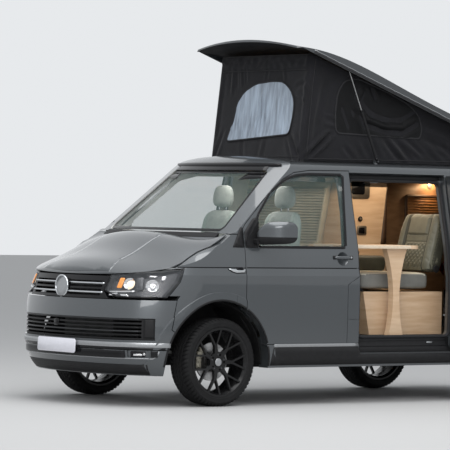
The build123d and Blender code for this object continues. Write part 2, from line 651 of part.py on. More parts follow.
# Gas struts that hold the lid: a cylinder with its foot on the roof and a rod above it
strut_angle = degrees(atan2(STRUT_HEAD[1] - STRUT_FOOT[1], STRUT_HEAD[0] - STRUT_FOOT[0]))
strut_length = hypot(STRUT_HEAD[0] - STRUT_FOOT[0], STRUT_HEAD[1] - STRUT_FOOT[1])
CYLINDER_LENGTH = 446
CYLINDER_RADIUS = 11
ROD_RADIUS = 5


def strut_round(radius, start, end, x):
    """Round bar along the raised strut, from one distance to another above its foot."""
    turn = radians(strut_angle)
    base = Plane(origin=(x, STRUT_FOOT[0] + start * cos(turn), STRUT_FOOT[1] + start * sin(turn)),
                 x_dir=(1, 0, 0), z_dir=(0, cos(turn), sin(turn)))
    with BuildPart() as bar:
        with BuildSketch(base):
            Circle(radius)
        extrude(amount=end - start)
    return bar.part


def strut_eye(radius, y, z, x):
    """Ball end of a strut."""
    with BuildPart() as eye:
        with Locations((x, y, z)):
            Sphere(radius)
    return eye.part


cylinder = strut_round(CYLINDER_RADIUS, 10, CYLINDER_LENGTH, STRUT_X)
cylinder = cylinder - strut_round(ROD_RADIUS + 0.5, 30, CYLINDER_LENGTH + 5, STRUT_X)
cylinder = cylinder + strut_eye(12, STRUT_FOOT[0], STRUT_FOOT[1], STRUT_X)
cylinder = cylinder - cross_cylinder(*STRUT_FOOT, STRUT_PIN_RADIUS + 0.5, STRUT_X - 20, STRUT_X + 20)
rod = strut_round(ROD_RADIUS, CYLINDER_LENGTH - 20, strut_length - 6, STRUT_X)
rod = rod + strut_eye(8, STRUT_HEAD[0], STRUT_HEAD[1], STRUT_X)
strut_cylinders = Compound(children=[cylinder, mirrored(cylinder)])
strut_rods = Compound(children=[rod, mirrored(rod)])

# Platform: floor, firewall, wheel houses and chassis rails as one pressing
inside = envelope(FRAME_DEPTH + 2)
CAB_FLOOR_FRONT_Y = -1080
with BuildPart() as floor_blocks:
    add(block((-840, 840), (CAB_FLOOR_FRONT_Y, 2290), (FLOOR_TOP - 45, FLOOR_TOP)))
    for side in (1, -1):
        add(block((side * 430 - 40, side * 430 + 40), (-2080, 2290), (420, FLOOR_TOP - 40)))
    add(block((-790, 790), (-1290, -1260), (760, 1290)))
    add(side_prism([(-1290, 760), (-1260, 760), (-1050, FLOOR_TOP), (-1080, FLOOR_TOP - 45)],
                   -790, 790))
floor_pan = floor_blocks.part
rear_well = cross_cylinder(REAR_AXLE_Y, ARCH_Z, REAR_ARCH_RADIUS - 30, 640, 900)
rear_house = cross_cylinder(REAR_AXLE_Y, ARCH_Z, REAR_ARCH_RADIUS - 8, 618, 838)
rear_house = rear_house & block((500, 900), (900, 2100), (FLOOR_TOP - 20, 900))
floor_pan = floor_pan + rear_house + mirrored(rear_house)
floor_pan = floor_pan - rear_well - mirrored(rear_well)
with BuildPart() as front_house:
    add(cross_cylinder(FRONT_ARCH_Y, ARCH_Z, ARCH_RADIUS + 16, 478, 900))
    add(cross_cylinder(FRONT_ARCH_Y, ARCH_Z, ARCH_RADIUS + 6, 486, 901), mode=Mode.SUBTRACT)
    add(block((470, 910), (-2200, -1000), (460, 1000)), mode=Mode.INTERSECT)
floor_pan = floor_pan + front_house.part + mirrored(front_house.part)
step_well = block((700, 900), (SLIDE_FRONT_Y + 20, SLIDE_REAR_Y - 20), (400, 600))
floor_pan = (floor_pan - step_well) & inside

# Interior: dashboard, cab seats, bench, kitchen unit and table
dash_profile = [(-1254, 900), (-1254, 1296), (-1130, 1300), (-960, 1240), (-930, 1130),
                (-1000, 1040), (-1040, 900)]
dashboard = side_prism(dash_profile, -745, 745, radius=20)

STEERING_X = -415
STEERING_PIVOT = (-830, 1165)
STEERING_TILT = 28
column = Plane(origin=(STEERING_X, *STEERING_PIVOT), x_dir=(1, 0, 0),
               z_dir=(0, cos(radians(STEERING_TILT)), sin(radians(STEERING_TILT))))
with BuildPart() as column_shroud:
    with BuildSketch(column.offset(-170)):
        Circle(46)
    extrude(amount=141.5)
dashboard = dashboard + column_shroud.part


def seat(x, y, width):
    """Cab seat on its pedestal: base, cushion, reclined back and head restraint."""
    half = width / 2
    with BuildPart() as part:
        add(block((x - 190, x + 190), (y - 200, y + 200), (FLOOR_TOP, FLOOR_TOP + 262)))
        add(side_prism([(y - 230, 800), (y - 230, 905), (y + 190, 935), (y + 230, 800)],
                       x - half, x + half, radius=22))
        add(side_prism([(y + 130, 850), (y + 240, 1545), (y + 330, 1560), (y + 290, 850)],
                       x - half + 12, x + half - 12, radius=30))
        add(side_prism([(y + 225, 1500), (y + 235, 1755), (y + 325, 1755), (y + 325, 1500)],
                       x - 120, x + 120, radius=30))
    return part.part


SEAT_X = 415
SEAT_Y = -800
cab_seat_left = seat(SEAT_X, SEAT_Y, 500)
cab_seat_right = seat(-SEAT_X, SEAT_Y, 500)

BENCH_X = (-330, 640)
BENCH_Y = (150, 1010)
bench_base = side_prism([(BENCH_Y[0] + 70, FLOOR_TOP), (BENCH_Y[0], 895), (BENCH_Y[1], 895),
                         (BENCH_Y[1], FLOOR_TOP)], BENCH_X[0], BENCH_X[1])
bench_base = bench_base - block((BENCH_X[0] + 18, BENCH_X[1] - 18),
                                (BENCH_Y[0] + 95, BENCH_Y[1] - 18), (FLOOR_TOP - 10, 877))
bench_cushion = block(BENCH_X, (BENCH_Y[0] - 30, 900), (898, 1050))
bench_back = side_prism([(820, 1054), (985, 1054), (1095, 1540), (1030, 1560), (950, 1500)],
                        BENCH_X[1] - 470, BENCH_X[1] + 40, radius=24)
bench_fold = block((BENCH_X[0], BENCH_X[1] - 530), (380, 880), (1053, 1170))

UNIT_X = (-835, -430)
kitchen_low = block(UNIT_X, (-60, 880), (FLOOR_TOP, 1240))
kitchen_tall = block((-835, -430), (880, 1290), (FLOOR_TOP, 1800))
kitchen_unit = (kitchen_low + kitchen_tall) & inside
kitchen_unit = kitchen_unit - rear_house.mirror(Plane.YZ)
# Door and drawer lines in the unit's face: middle y, middle z, height, width
UNIT_LINES = [(254, 860, 520, 3), (568, 860, 520, 3), (410, 1120, 3, 934), (410, 600, 3, 934),
              (880, 1170, 1140, 3), (1085, 1250, 3, 400), (1085, 600, 3, 400)]
SINK_PLACE = (-640, 110)
SINK_RADIUS = 145
SINK_DEPTH = 120
with BuildPart() as unit_cuts:
    with BuildSketch(Plane.YZ.offset(UNIT_X[1] - 4)):
        for y, z, high, wide in UNIT_LINES:
            with Locations((y, z)):
                Rectangle(wide, high)
    extrude(amount=8)
    with BuildSketch(Plane.XY.offset(1240 - SINK_DEPTH)):
        with Locations(SINK_PLACE):
            Circle(SINK_RADIUS)
    extrude(amount=SINK_DEPTH + 10)
kitchen_unit = kitchen_unit - unit_cuts.part

TABLE_TOP_Z = 1280
with BuildPart() as table_build:
    with BuildSketch(Plane.XY.offset(TABLE_TOP_Z - 28)) as top_sketch:
        with Locations((535, 230)):
            RectangleRounded(500, 860, 90)
    extrude(amount=28)
    with BuildSketch(Plane.YZ.offset(725)) as leg_sketch:
        with BuildLine():
            Line((295, TABLE_TOP_Z - 28), (515, TABLE_TOP_Z - 28))
            ThreePointArc((515, TABLE_TOP_Z - 28), (443, 880), (490, FLOOR_TOP))
            Line((490, FLOOR_TOP), (335, FLOOR_TOP))
            ThreePointArc((335, FLOOR_TOP), (375, 880), (295, TABLE_TOP_Z - 28))
        make_face()
    extrude(amount=30, both=True)
table = table_build.part

# Mechanical masses and axles
STEER_X = 744
UPRIGHT_RADIUS = 34
KNUCKLE_INNER_X = STEER_X - UPRIGHT_RADIUS - 0.5
engine_block = block((-330, 330), (-2150, -1620), (430, 1000))
front_subframe = block((-380, 380), (-1700, -1340), (300, 372))
with BuildPart() as front_arms:
    for side in (1, -1):
        with BuildSketch(Plane.XY.offset(306)):
            Polygon((side * 378, -1640), (side * KNUCKLE_INNER_X, -1556),
                    (side * KNUCKLE_INNER_X, -1496), (side * 378, -1400), align=None)
        extrude(amount=34)
front_subframe = front_subframe + front_arms.part
with BuildPart() as beam:
    add(block((-420, 420), (1560, 1640), (300, 372)))
    for side in (1, -1):
        add(block((side * 560 - 150, side * 560 + 150), (1400, 1640), (306, 360)))
        add(cross_cylinder(REAR_AXLE_Y, TYRE_RADIUS, 62, min(side * 560, side * 843.5),
                           max(side * 560, side * 843.5)))
rear_axle = beam.part


# Exhaust under the floor: pipe in straight runs and bends, silencer and tail pipe
EXHAUST_PIPE_RADIUS = 28
EXHAUST_ROUTE = [(-120, -1619.5, 450), (-120, -1200, 450), (-250, -950, 372), (-250, 1100, 372),
                 (-330, 1300, 262), (-330, 2300, 262)]
SILENCER_Y = (-350, 350)
with BuildPart() as exhaust_build:
    with BuildLine() as exhaust_line:
        FilletPolyline(*EXHAUST_ROUTE, radius=90)
    with BuildSketch(Plane(origin=EXHAUST_ROUTE[0], z_dir=(0, 1, 0))):
        Circle(EXHAUST_PIPE_RADIUS)
    sweep()
    with BuildSketch(Plane(origin=(-250, SILENCER_Y[1], 362), x_dir=(1, 0, 0), z_dir=(0, -1, 0))):
        RectangleRounded(230, 100, 48)
    extrude(amount=SILENCER_Y[1] - SILENCER_Y[0])
exhaust = exhaust_build.part

# Fuel tank between the rails, ahead of the rear axle
with BuildPart() as tank_build:
    with BuildSketch(Plane.XY.offset(270)):
        with Locations((120, -600)):
            RectangleRounded(420, 900, 60)
    extrude(amount=FLOOR_TOP - 45 - 270)
    fillet(tank_build.edges().group_by(Axis.Z)[0], 30)
fuel_tank = tank_build.part

# Wheels and steering
SPOKES = 7
HUB_PAD_RADIUS = 84
BOLT_CIRCLE = 60
FORK_RADIUS = 128
TIP_RADIUS = 250
TIP_ANGLE = 12.5
# Dished spoke disc, by radius: radius, inner face, outer face
SPOKE_DISH = ((36, 34, 74), (95, 46, 78), (170, 66, 92))
SPOKE_TIP_FRONT = (262, 107)
SPOKE_TIP_BACK = (246, 84)


def spoke_pattern():
    """Forked spokes: a root from the hub that splits into two arms, cut from a dished disc."""
    with BuildPart() as dish:
        with BuildSketch(Plane.XZ):
            with BuildLine():
                Spline(*[(radius, front) for radius, back, front in SPOKE_DISH], SPOKE_TIP_FRONT)
                Polyline(SPOKE_TIP_FRONT, SPOKE_TIP_BACK,
                         *[(radius, back) for radius, back, front in SPOKE_DISH[::-1]],
                         (SPOKE_DISH[0][0], SPOKE_DISH[0][2]))
            make_face()
        revolve(axis=Axis.Z)
    tip = (TIP_RADIUS * cos(radians(TIP_ANGLE)), TIP_RADIUS * sin(radians(TIP_ANGLE)))
    reach = hypot(tip[0] - FORK_RADIUS, tip[1])
    lean = degrees(atan2(tip[1], tip[0] - FORK_RADIUS))
    with BuildPart() as arms:
        with BuildSketch(Plane.XY.offset(20)):
            Circle(HUB_PAD_RADIUS - 6)
            with PolarLocations(0, SPOKES):
                Polygon((40, -21), (FORK_RADIUS + 4, -12), (FORK_RADIUS + 4, 12), (40, 21), align=None)
                for turn in (-lean, lean):
                    with Locations(Location((FORK_RADIUS - 4, 0), turn)):
                        with Locations((reach / 2 + 9, 0)):
                            Rectangle(reach + 24, 15)
        extrude(amount=100)
    return dish.part & arms.part


spokes = spoke_pattern()


def wheel_rim(side, y):
    """Cast wheel: barrel, forked spokes, hub pad, centre cap and bolt holes."""
    with BuildPart() as rim:
        with BuildSketch(Plane.XZ) as section:
            with BuildLine():
                Polyline((RIM_RADIUS, 110), (RIM_RADIUS, 96), (250, 84), (238, 20), (238, -20),
                         (250, -84), (RIM_RADIUS, -96), (RIM_RADIUS, -110), (258, -110),
                         (240, -88), (228, -24), (228, 24), (240, 88), (256, 110), close=True)
            make_face()
        revolve(axis=Axis.Z)
        add(spokes)
        with BuildSketch(Plane.XY.offset(30)):
            Circle(HUB_PAD_RADIUS)
        extrude(amount=30)
        with BuildSketch(Plane.XY.offset(20)):
            Circle(34)
        extrude(amount=70, mode=Mode.SUBTRACT)
        with BuildSketch(Plane.XY.offset(44)):
            Circle(34)
        extrude(amount=34)
        with BuildSketch(Plane.XY):
            with PolarLocations(BOLT_CIRCLE, 5):
                Circle(9)
        extrude(amount=110, mode=Mode.SUBTRACT)
    turned = Plane(origin=(side * WHEEL_X, y, TYRE_RADIUS), x_dir=(0, side, 0),
                   z_dir=(side, 0, 0))
    return rim.part.moved(turned.location)


def wheel_tyre(side, y):
    """Tyre with rounded shoulders, seated on the rim."""
    with BuildPart() as tyre:
        with BuildSketch(Plane.XZ):
            with BuildLine():
                edge = TYRE_WIDTH / 2
                Polyline((RIM_RADIUS, -108), (RIM_RADIUS, -96), (250, -84), (238, -20),
                         (238, 20), (250, 84), (RIM_RADIUS, 96), (RIM_RADIUS, 108))
                ThreePointArc((RIM_RADIUS, 108), (300, edge), (330, 104))
                ThreePointArc((330, 104), (342, 96), (346, 84))
                ThreePointArc((346, 84), (TYRE_RADIUS, 0), (346, -84))
                ThreePointArc((346, -84), (342, -96), (330, -104))
                ThreePointArc((330, -104), (300, -edge), (RIM_RADIUS, -108))
            make_face()
        revolve(axis=Axis.Z)
    turned = Plane(origin=(side * WHEEL_X, y, TYRE_RADIUS), x_dir=(0, side, 0),
                   z_dir=(side, 0, 0))
    return tyre.part.moved(turned.location)


def brake_disc(side, y):
    """Brake disc, hub and caliper on a round upright about the steering axis."""
    with BuildPart() as knuckle:
        add(cross_cylinder(0, 0, 150, -8, 8))
        add(cross_cylinder(0, 0, 66, -30, 49.5))
        add(block((-40, 34), (-175, -95), (-60, 60)))
        with BuildSketch(Plane.XY.offset(-60)):
            with Locations((STEER_X - WHEEL_X + 20, 0)):
                Circle(UPRIGHT_RADIUS)
        extrude(amount=190)
    part = knuckle.part
    if side < 0:
        part = mirror(part, about=Plane.YZ)
    return part.moved(Location((side * (WHEEL_X - 20), y, TYRE_RADIUS)))


with BuildPart() as steering_build:
    with Locations(column):
        Torus(major_radius=178, minor_radius=15)
    with BuildSketch(column.offset(-28)):
        Circle(72)
    extrude(amount=40)
    with BuildSketch(column.offset(-12)):
        Rectangle(350, 34)
    extrude(amount=16)
steering_wheel = steering_build.part

# Door mirrors: a foot on the window corner, an arm and a rounded housing open to the rear
# Housing sections along X: x, middle y, middle z, depth in y, height in z
MIRROR_SECTIONS = [
    (940, -1170, 1322, 70, 80),
    (968, -1155, 1345, 116, 136),
    (1020, -1120, 1366, 142, 174),
    (1090, -1068, 1373, 148, 178),
    (1135, -1026, 1374, 126, 162),
    (1150, -1004, 1372, 86, 124),
]
MIRROR_ARM = (905, 970)
with BuildPart() as mirror_build:
    for x, y, z, depth, height in MIRROR_SECTIONS:
        with BuildSketch(Plane.YZ.offset(x)):
            with Locations((y, z)):
                RectangleRounded(depth, height, depth * 0.36)
    loft()
    with BuildSketch(Plane.YZ.offset(MIRROR_ARM[0])):
        with Locations((-1184, 1300)):
            RectangleRounded(84, 48, 15)
    extrude(amount=MIRROR_ARM[1] - MIRROR_ARM[0])
    add(side_prism([(-1294, 1268), (-1294, 1300), (-1180, 1470), (-1180, 1268)], 850, 925))
with BuildPart() as mirror_recess:
    with BuildSketch(Plane(origin=(1038, -1014, 1372), x_dir=(0.78, 0.626, 0),
                           z_dir=(0.626, -0.78, 0))):
        RectangleRounded(158, 136, 32)
    extrude(amount=46)
door_mirror = mirror_build.part - mirror_recess.part - outer

pieces = {
    "floor_pan": floor_pan,
    "body_side_left": body_side_left,
    "body_side_right": body_side_right,
    "roof_panel": roof_panel,
    "wing_left": wing,
    "wing_right": mirrored(wing),
    "front_bumper": front_bumper,
    "intake_grille": intake_grille,
    "front_valance": front_valance,
    "grille": grille,
    "headlamps": Compound(children=[headlamp, mirrored(headlamp)]),
    "cowl": cowl,
    "windscreen": windscreen,
    "side_windows": side_windows,
    "sliding_door": sliding_door,
    "sliding_door_glass": sliding_pane,
    "rear_bumper": rear_bumper,
    "tail_lamps": Compound(children=[tail_lamp, mirrored(tail_lamp)]),
    "tailgate": tailgate,
    "tailgate_glass": tail_pane,
    "bonnet": bonnet,
    "front_door_left": left_front_door,
    "front_door_right": mirrored(front_door),
    "door_glass_left": door_pane,
    "door_glass_right": mirrored(door_pane),
    "mirror_left": door_mirror,
    "mirror_right": mirrored(door_mirror),
    "roof_lid": roof_lid,
    "tent_fabric": tent_fabric,
    "roof_strut_cylinders": strut_cylinders,
    "roof_strut_rods": strut_rods,
    "dashboard": dashboard,
    "steering_wheel": steering_wheel,
    "cab_seat_left": cab_seat_left,
    "cab_seat_right": cab_seat_right,
    "bench_base": bench_base,
    "bench_cushion": bench_cushion,
    "bench_back": Compound(children=[bench_back, bench_fold]),
    "kitchen_unit": kitchen_unit,
    "table": table,
    "engine_block": engine_block,
    "front_subframe": front_subframe,
    "rear_axle": rear_axle,
    "exhaust": exhaust,
    "fuel_tank": fuel_tank,
    "knuckle_left": brake_disc(1, FRONT_AXLE_Y),
    "knuckle_right": brake_disc(-1, FRONT_AXLE_Y),
}
for corner, side, axle in (("front_left", 1, FRONT_AXLE_Y), ("front_right", -1, FRONT_AXLE_Y),
                           ("rear_left", 1, REAR_AXLE_Y), ("rear_right", -1, REAR_AXLE_Y)):
    pieces[f"rim_{corner}"] = wheel_rim(side, axle)
    pieces[f"tyre_{corner}"] = wheel_tyre(side, axle)
for name, piece in pieces.items():
    write(piece, name)
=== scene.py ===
from math import copysign, cos, pi, radians, sin

import bmesh
import bpy
from mathutils import Matrix, Vector, noise
from mathutils.bvhtree import BVHTree
from mathutils.geometry import delaunay_2d_cdt


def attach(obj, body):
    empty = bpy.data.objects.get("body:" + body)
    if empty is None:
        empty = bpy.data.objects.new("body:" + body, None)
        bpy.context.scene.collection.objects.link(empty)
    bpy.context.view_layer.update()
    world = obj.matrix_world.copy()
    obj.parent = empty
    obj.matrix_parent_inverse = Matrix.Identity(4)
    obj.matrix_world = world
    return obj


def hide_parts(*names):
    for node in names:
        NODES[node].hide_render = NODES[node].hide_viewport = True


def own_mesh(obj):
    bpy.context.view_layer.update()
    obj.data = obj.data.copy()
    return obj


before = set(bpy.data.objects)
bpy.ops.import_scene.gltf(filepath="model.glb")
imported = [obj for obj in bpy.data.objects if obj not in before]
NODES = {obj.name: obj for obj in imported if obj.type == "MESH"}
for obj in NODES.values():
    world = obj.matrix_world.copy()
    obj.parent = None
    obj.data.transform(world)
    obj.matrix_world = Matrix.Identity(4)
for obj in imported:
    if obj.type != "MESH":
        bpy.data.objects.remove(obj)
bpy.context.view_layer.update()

SIDES = ((1, "left"), (-1, "right"))
UP = Vector((0, 0, 1))
OFF_SIDE, OFF_END, OFF_TOP = 1.4, 3.0, 3.2


def clamp(value):
    return max(0.0, min(1.0, value))


def bell(off):
    """A smooth bump: 1 in the middle, fading away on both sides."""
    return 2.718 ** (-off * off)


# Finishes

def put(tree, kind, sources=(), values=(), **settings):
    """A new node, with its settings, its fixed input values, and what feeds its other inputs."""
    node = tree.nodes.new(kind)
    for name, value in settings.items():
        setattr(node, name, value)
    for name, value in dict(values).items():
        node.inputs[name].default_value = value
    for name, socket in dict(sources).items():
        tree.links.new(socket, node.inputs[name])
    return node


def finish(name, colour, rough=0.5, metal=0.0, vary=None, grain=None, streaks=None, coat=None,
           sheen=None, edge=None, specular=None, alpha=None, glow=None, ior=None):
    """A named finish: base colour, mottling, surface grain and softened edges, all from nodes."""
    material = bpy.data.materials.new(name)
    material.use_nodes = True
    tree = material.node_tree
    shader = tree.nodes["Principled BSDF"]
    values = {"Base Color": (*colour, 1), "Roughness": rough, "Metallic": metal, "IOR": ior,
              "Specular IOR Level": specular, "Alpha": alpha}
    for layer, pair in (("Coat", coat), ("Sheen", sheen)):
        if pair:
            values[f"{layer} Weight"], values[f"{layer} Roughness"] = pair
    if glow:
        values["Emission Color"], values["Emission Strength"] = (*glow[0], 1), glow[1]
    for key, value in values.items():
        if value is not None:
            shader.inputs[key].default_value = value
    place = tree.nodes.new("ShaderNodeTexCoord").outputs["Object"]

    def cloud(scale, detail=3.0, stretch=None):
        source = place
        if stretch:
            source = put(tree, "ShaderNodeMapping", {"Vector": place}, {"Scale": stretch}).outputs[0]
        return put(tree, "ShaderNodeTexNoise", {"Vector": source},
                   {"Scale": scale, "Detail": detail}).outputs["Fac"]

    def blend(factor, low, high):
        ramp = put(tree, "ShaderNodeValToRGB", {"Fac": factor})
        for end, position, shade in zip(ramp.color_ramp.elements, (0.3, 0.7), (low, high)):
            end.position = position
            end.color = (*shade, 1)
        return ramp.outputs["Color"]

    def feed(socket, into):
        tree.links.new(socket, shader.inputs[into])

    if vary:
        scale, amount = vary
        dark = [c * (1 - amount) for c in colour]
        feed(blend(cloud(scale), dark, [min(1, c * (1 + amount)) for c in colour]), "Base Color")
        spread = put(tree, "ShaderNodeMapRange", {"Value": cloud(scale * 2.3)},
                     {"To Min": max(0.02, rough - 0.06), "To Max": min(1.0, rough + 0.06)})
        feed(spread.outputs["Result"], "Roughness")
    if streaks:
        stretch, low, high = streaks
        feed(blend(cloud(1.0, 5.0, stretch), low, high), "Base Color")
    normal = {}
    if edge:
        softened = put(tree, "ShaderNodeBevel", values={"Radius": edge}, samples=4)
        normal = {"Normal": softened.outputs["Normal"]}
    if grain:
        kind, scale, strength, depth = grain
        if kind == "cells":
            texture = put(tree, "ShaderNodeTexVoronoi", {"Vector": place}, {"Scale": scale})
            height = texture.outputs["Distance"]
        else:
            height = weave(tree, place, scale) if kind == "weave" else cloud(scale, 4.0)
        bump = put(tree, "ShaderNodeBump", {"Height": height, **normal},
                   {"Strength": strength, "Distance": depth})
        normal = {"Normal": bump.outputs["Normal"]}
    if normal:
        feed(normal["Normal"], "Normal")
    return material


def weave(tree, place, scale):
    """Crossed threads as a height, on all three axes so that it needs no unwrapping."""
    total = None
    for axis in ((1, 1, 0), (0, 1, 1), (1, 0, -1)):
        along = put(tree, "ShaderNodeVectorMath", {0: place}, {1: axis}, operation="DOT_PRODUCT")
        wave = put(tree, "ShaderNodeMath", {0: along.outputs["Value"]}, {1: scale}, operation="MULTIPLY")
        last = put(tree, "ShaderNodeMath", {0: wave.outputs["Value"]}, operation="SINE")
        if total is not None:
            last = put(tree, "ShaderNodeMath", {0: total, 1: last.outputs["Value"]}, operation="ADD")
        total = last.outputs["Value"]
    return total


PAINT = finish("metallic_grey_paint", (0.082, 0.090, 0.097), rough=0.30, metal=0.62, vary=(900, 0.10),
               grain=("cloud", 2600, 0.02, 0.0004), coat=(1.0, 0.03), edge=0.003)
UNDERBODY = finish("underbody_coating", (0.010, 0.010, 0.0105), rough=0.7, vary=(14, 0.3),
                   grain=("cloud", 260, 0.35, 0.001), specular=0.2)
MOULDING = finish("grained_black_moulding", (0.012, 0.012, 0.013), rough=0.5, vary=(30, 0.15),
                  grain=("cells", 900, 0.25, 0.0003), edge=0.002, specular=0.22)
GLOSS = finish("gloss_black", (0.006, 0.006, 0.007), rough=0.14, vary=(20, 0.15), edge=0.002,
               specular=0.3)
CHROME = finish("bright_chrome", (0.62, 0.64, 0.66), rough=0.08, metal=1.0, vary=(60, 0.04), edge=0.001)
GLASS = finish("cab_glass", (0.05, 0.11, 0.10), rough=0.02, alpha=0.17, ior=2.0)
PRIVACY = finish("privacy_glass", (0.010, 0.014, 0.014), rough=0.02, alpha=0.72, ior=1.7)
LENS = finish("lamp_lens", (0.30, 0.32, 0.34), rough=0.02, alpha=0.07, ior=1.6)
RED_LENS = finish("red_lens", (0.42, 0.012, 0.012), rough=0.12, vary=(40, 0.2), coat=(1.0, 0.03),
                  grain=("cells", 240, 0.3, 0.0006))
CANVAS = finish("black_canvas", (0.0050, 0.0049, 0.0070), rough=0.78, vary=(9, 0.25), sheen=(0.08, 0.5),
                grain=("weave", 3600, 0.35, 0.0004), specular=0.26)
NET = finish("dark_mesh_window", (0.0032, 0.0032, 0.0038), rough=0.6, vary=(12, 0.2), specular=0.22,
             grain=("cells", 1500, 0.5, 0.0004))
# The film's vertical light and dark streaks are painted highlight and shade along its folds.
FILM = finish("pale_window_film", (0.24, 0.29, 0.35), rough=0.36, coat=(0.3, 0.25),
              streaks=((34.0, 34.0, 2.2), (0.15, 0.18, 0.22), (0.34, 0.41, 0.50)),
              grain=("weave", 2400, 0.12, 0.0003))
WEBBING = finish("black_webbing", (0.010, 0.010, 0.012), rough=0.75, vary=(30, 0.2),
                 grain=("weave", 4200, 0.5, 0.0004))
LID_SHELL = finish("lid_gelcoat", (0.022, 0.026, 0.030), rough=0.30, vary=(3, 0.06), coat=(0.9, 0.10),
                   grain=("cloud", 9, 0.02, 0.0006), edge=0.004)
ALLOY = finish("satin_black_alloy", (0.006, 0.006, 0.0065), rough=0.26, vary=(60, 0.15), edge=0.0015,
               specular=0.32)
RUBBER = finish("tyre_rubber", (0.010, 0.010, 0.0105), rough=0.7, vary=(22, 0.2),
                grain=("cloud", 420, 0.2, 0.0004), specular=0.2)
STEEL = finish("machined_steel", (0.42, 0.42, 0.42), rough=0.32, metal=1.0, vary=(45, 0.2), edge=0.001)
BIRCH = finish("birch_plywood", (0.66, 0.45, 0.28), rough=0.42, coat=(0.15, 0.3),
               streaks=((3.0, 3.0, 26.0), (0.60, 0.40, 0.24), (0.74, 0.54, 0.36)),
               grain=("cloud", 180, 0.06, 0.0005), edge=0.002)
LEATHER = finish("sage_leather", (0.125, 0.122, 0.088), rough=0.46, vary=(14, 0.12),
                 grain=("cells", 420, 0.28, 0.0005), sheen=(0.1, 0.4))
CREAM = finish("cream_leather", (0.62, 0.60, 0.50), rough=0.46, vary=(14, 0.08),
               grain=("cells", 420, 0.28, 0.0005))
SEAT_CLOTH = finish("cab_seat_cloth", (0.42, 0.45, 0.42), rough=0.8, vary=(30, 0.1), sheen=(0.3, 0.5),
                    grain=("weave", 2600, 0.3, 0.0005))
DASH = finish("dash_plastic", (0.06, 0.065, 0.07), rough=0.55, vary=(12, 0.1),
              grain=("cells", 700, 0.3, 0.0004), edge=0.003)
CAST = finish("cast_engine", (0.10, 0.10, 0.10), rough=0.55, metal=0.7, vary=(12, 0.3),
              grain=("cloud", 160, 0.4, 0.001), edge=0.004)
LINING = finish("grey_lining", (0.52, 0.52, 0.50), rough=0.85, vary=(20, 0.08), sheen=(0.3, 0.5),
                grain=("weave", 2400, 0.25, 0.0005))
SATIN = finish("satin_silver_trim", (0.36, 0.37, 0.38), rough=0.3, metal=0.75, vary=(60, 0.06), edge=0.001)
LAMP_BACK = finish("lamp_housing", (0.085, 0.085, 0.09), rough=0.3, metal=0.5, vary=(25, 0.2), edge=0.001)
IRON = finish("brake_iron", (0.055, 0.052, 0.050), rough=0.45, metal=0.7, vary=(40, 0.25), edge=0.001)
MIRRORED = finish("lamp_reflector", (0.80, 0.80, 0.81), rough=0.05, metal=1.0, vary=(40, 0.05))
# Painted glow: the amber filter and the bulb give off light of their own, though the lamps are not lit.
AMBER_PAINTED_GLOW = finish("amber_filter_painted_glow", (0.85, 0.30, 0.03), rough=0.15, vary=(60, 0.1), coat=(0.8, 0.05),
               glow=((1.0, 0.36, 0.06), 0.25))
BULB_PAINTED_GLOW = finish("bulb_painted_glow", (1.0, 0.86, 0.66), rough=0.2, glow=((1.0, 0.80, 0.52), 0.9))
# Satin dark metal: the wheel bolts' own finish, and on the intake slats a painted highlight.
SATIN_DARK_AND_SLAT_HIGHLIGHT = finish("satin_dark_trim_and_slat_highlight", (0.045, 0.047, 0.05), rough=0.32, metal=0.5, vary=(40, 0.1),
                    edge=0.001)
PLATE_BLANK = finish("blank_plate", (0.74, 0.74, 0.80), rough=0.35, vary=(40, 0.03), coat=(0.5, 0.1),
                     edge=0.001)
SIDE_GREY = finish("grey_leather", (0.20, 0.20, 0.185), rough=0.5, vary=(12, 0.12),
                   grain=("cells", 420, 0.25, 0.0005), specular=0.35)
OLIVE_DARK = finish("dark_olive_leather", (0.050, 0.050, 0.038), rough=0.5, vary=(12, 0.15),
                    grain=("cells", 420, 0.25, 0.0005), specular=0.3)
SEAT_PALE = finish("pale_green_vinyl", (0.40, 0.46, 0.42), rough=0.5, vary=(20, 0.08),
                   grain=("cells", 500, 0.2, 0.0004))
WALNUT = finish("brown_wall_board", (0.21, 0.125, 0.066), rough=0.5, specular=0.3,
                streaks=((2.0, 6.0, 30.0), (0.18, 0.105, 0.055), (0.25, 0.15, 0.08)),
                grain=("cloud", 160, 0.05, 0.0004), edge=0.002)
WALNUT_DARK = finish("dark_wood_frame", (0.060, 0.032, 0.016), rough=0.45, vary=(20, 0.2), edge=0.002)
SLAT_WARM = finish("warm_wood_slat", (0.42, 0.20, 0.075), rough=0.45, edge=0.001,
                   streaks=((2.0, 12.0, 60.0), (0.34, 0.155, 0.055), (0.50, 0.26, 0.11)))
SLAT_SILVER = finish("pale_blind_slat", (0.44, 0.46, 0.44), rough=0.35, vary=(8, 0.15), edge=0.001)
BRONZE = finish("bronze_bezel", (0.19, 0.16, 0.125), rough=0.35, metal=0.6, vary=(60, 0.15), edge=0.001)
PALE_PLY = finish("pale_ply_edge", (0.78, 0.66, 0.50), rough=0.45, edge=0.001,
                  streaks=((40.0, 40.0, 420.0), (0.66, 0.50, 0.34), (0.84, 0.74, 0.60)))
RED_GLOW = finish("bright_red_lens", (0.55, 0.012, 0.012), rough=0.15, coat=(0.6, 0.1), edge=0.001)
CALIPER = finish("pale_caliper", (0.34, 0.32, 0.26), rough=0.5, metal=0.3, vary=(40, 0.25), edge=0.002)
LID_LINING = finish("dark_lid_lining", (0.020, 0.020, 0.021), rough=0.8, vary=(9, 0.2), specular=0.2,
                    grain=("weave", 1800, 0.3, 0.0005))

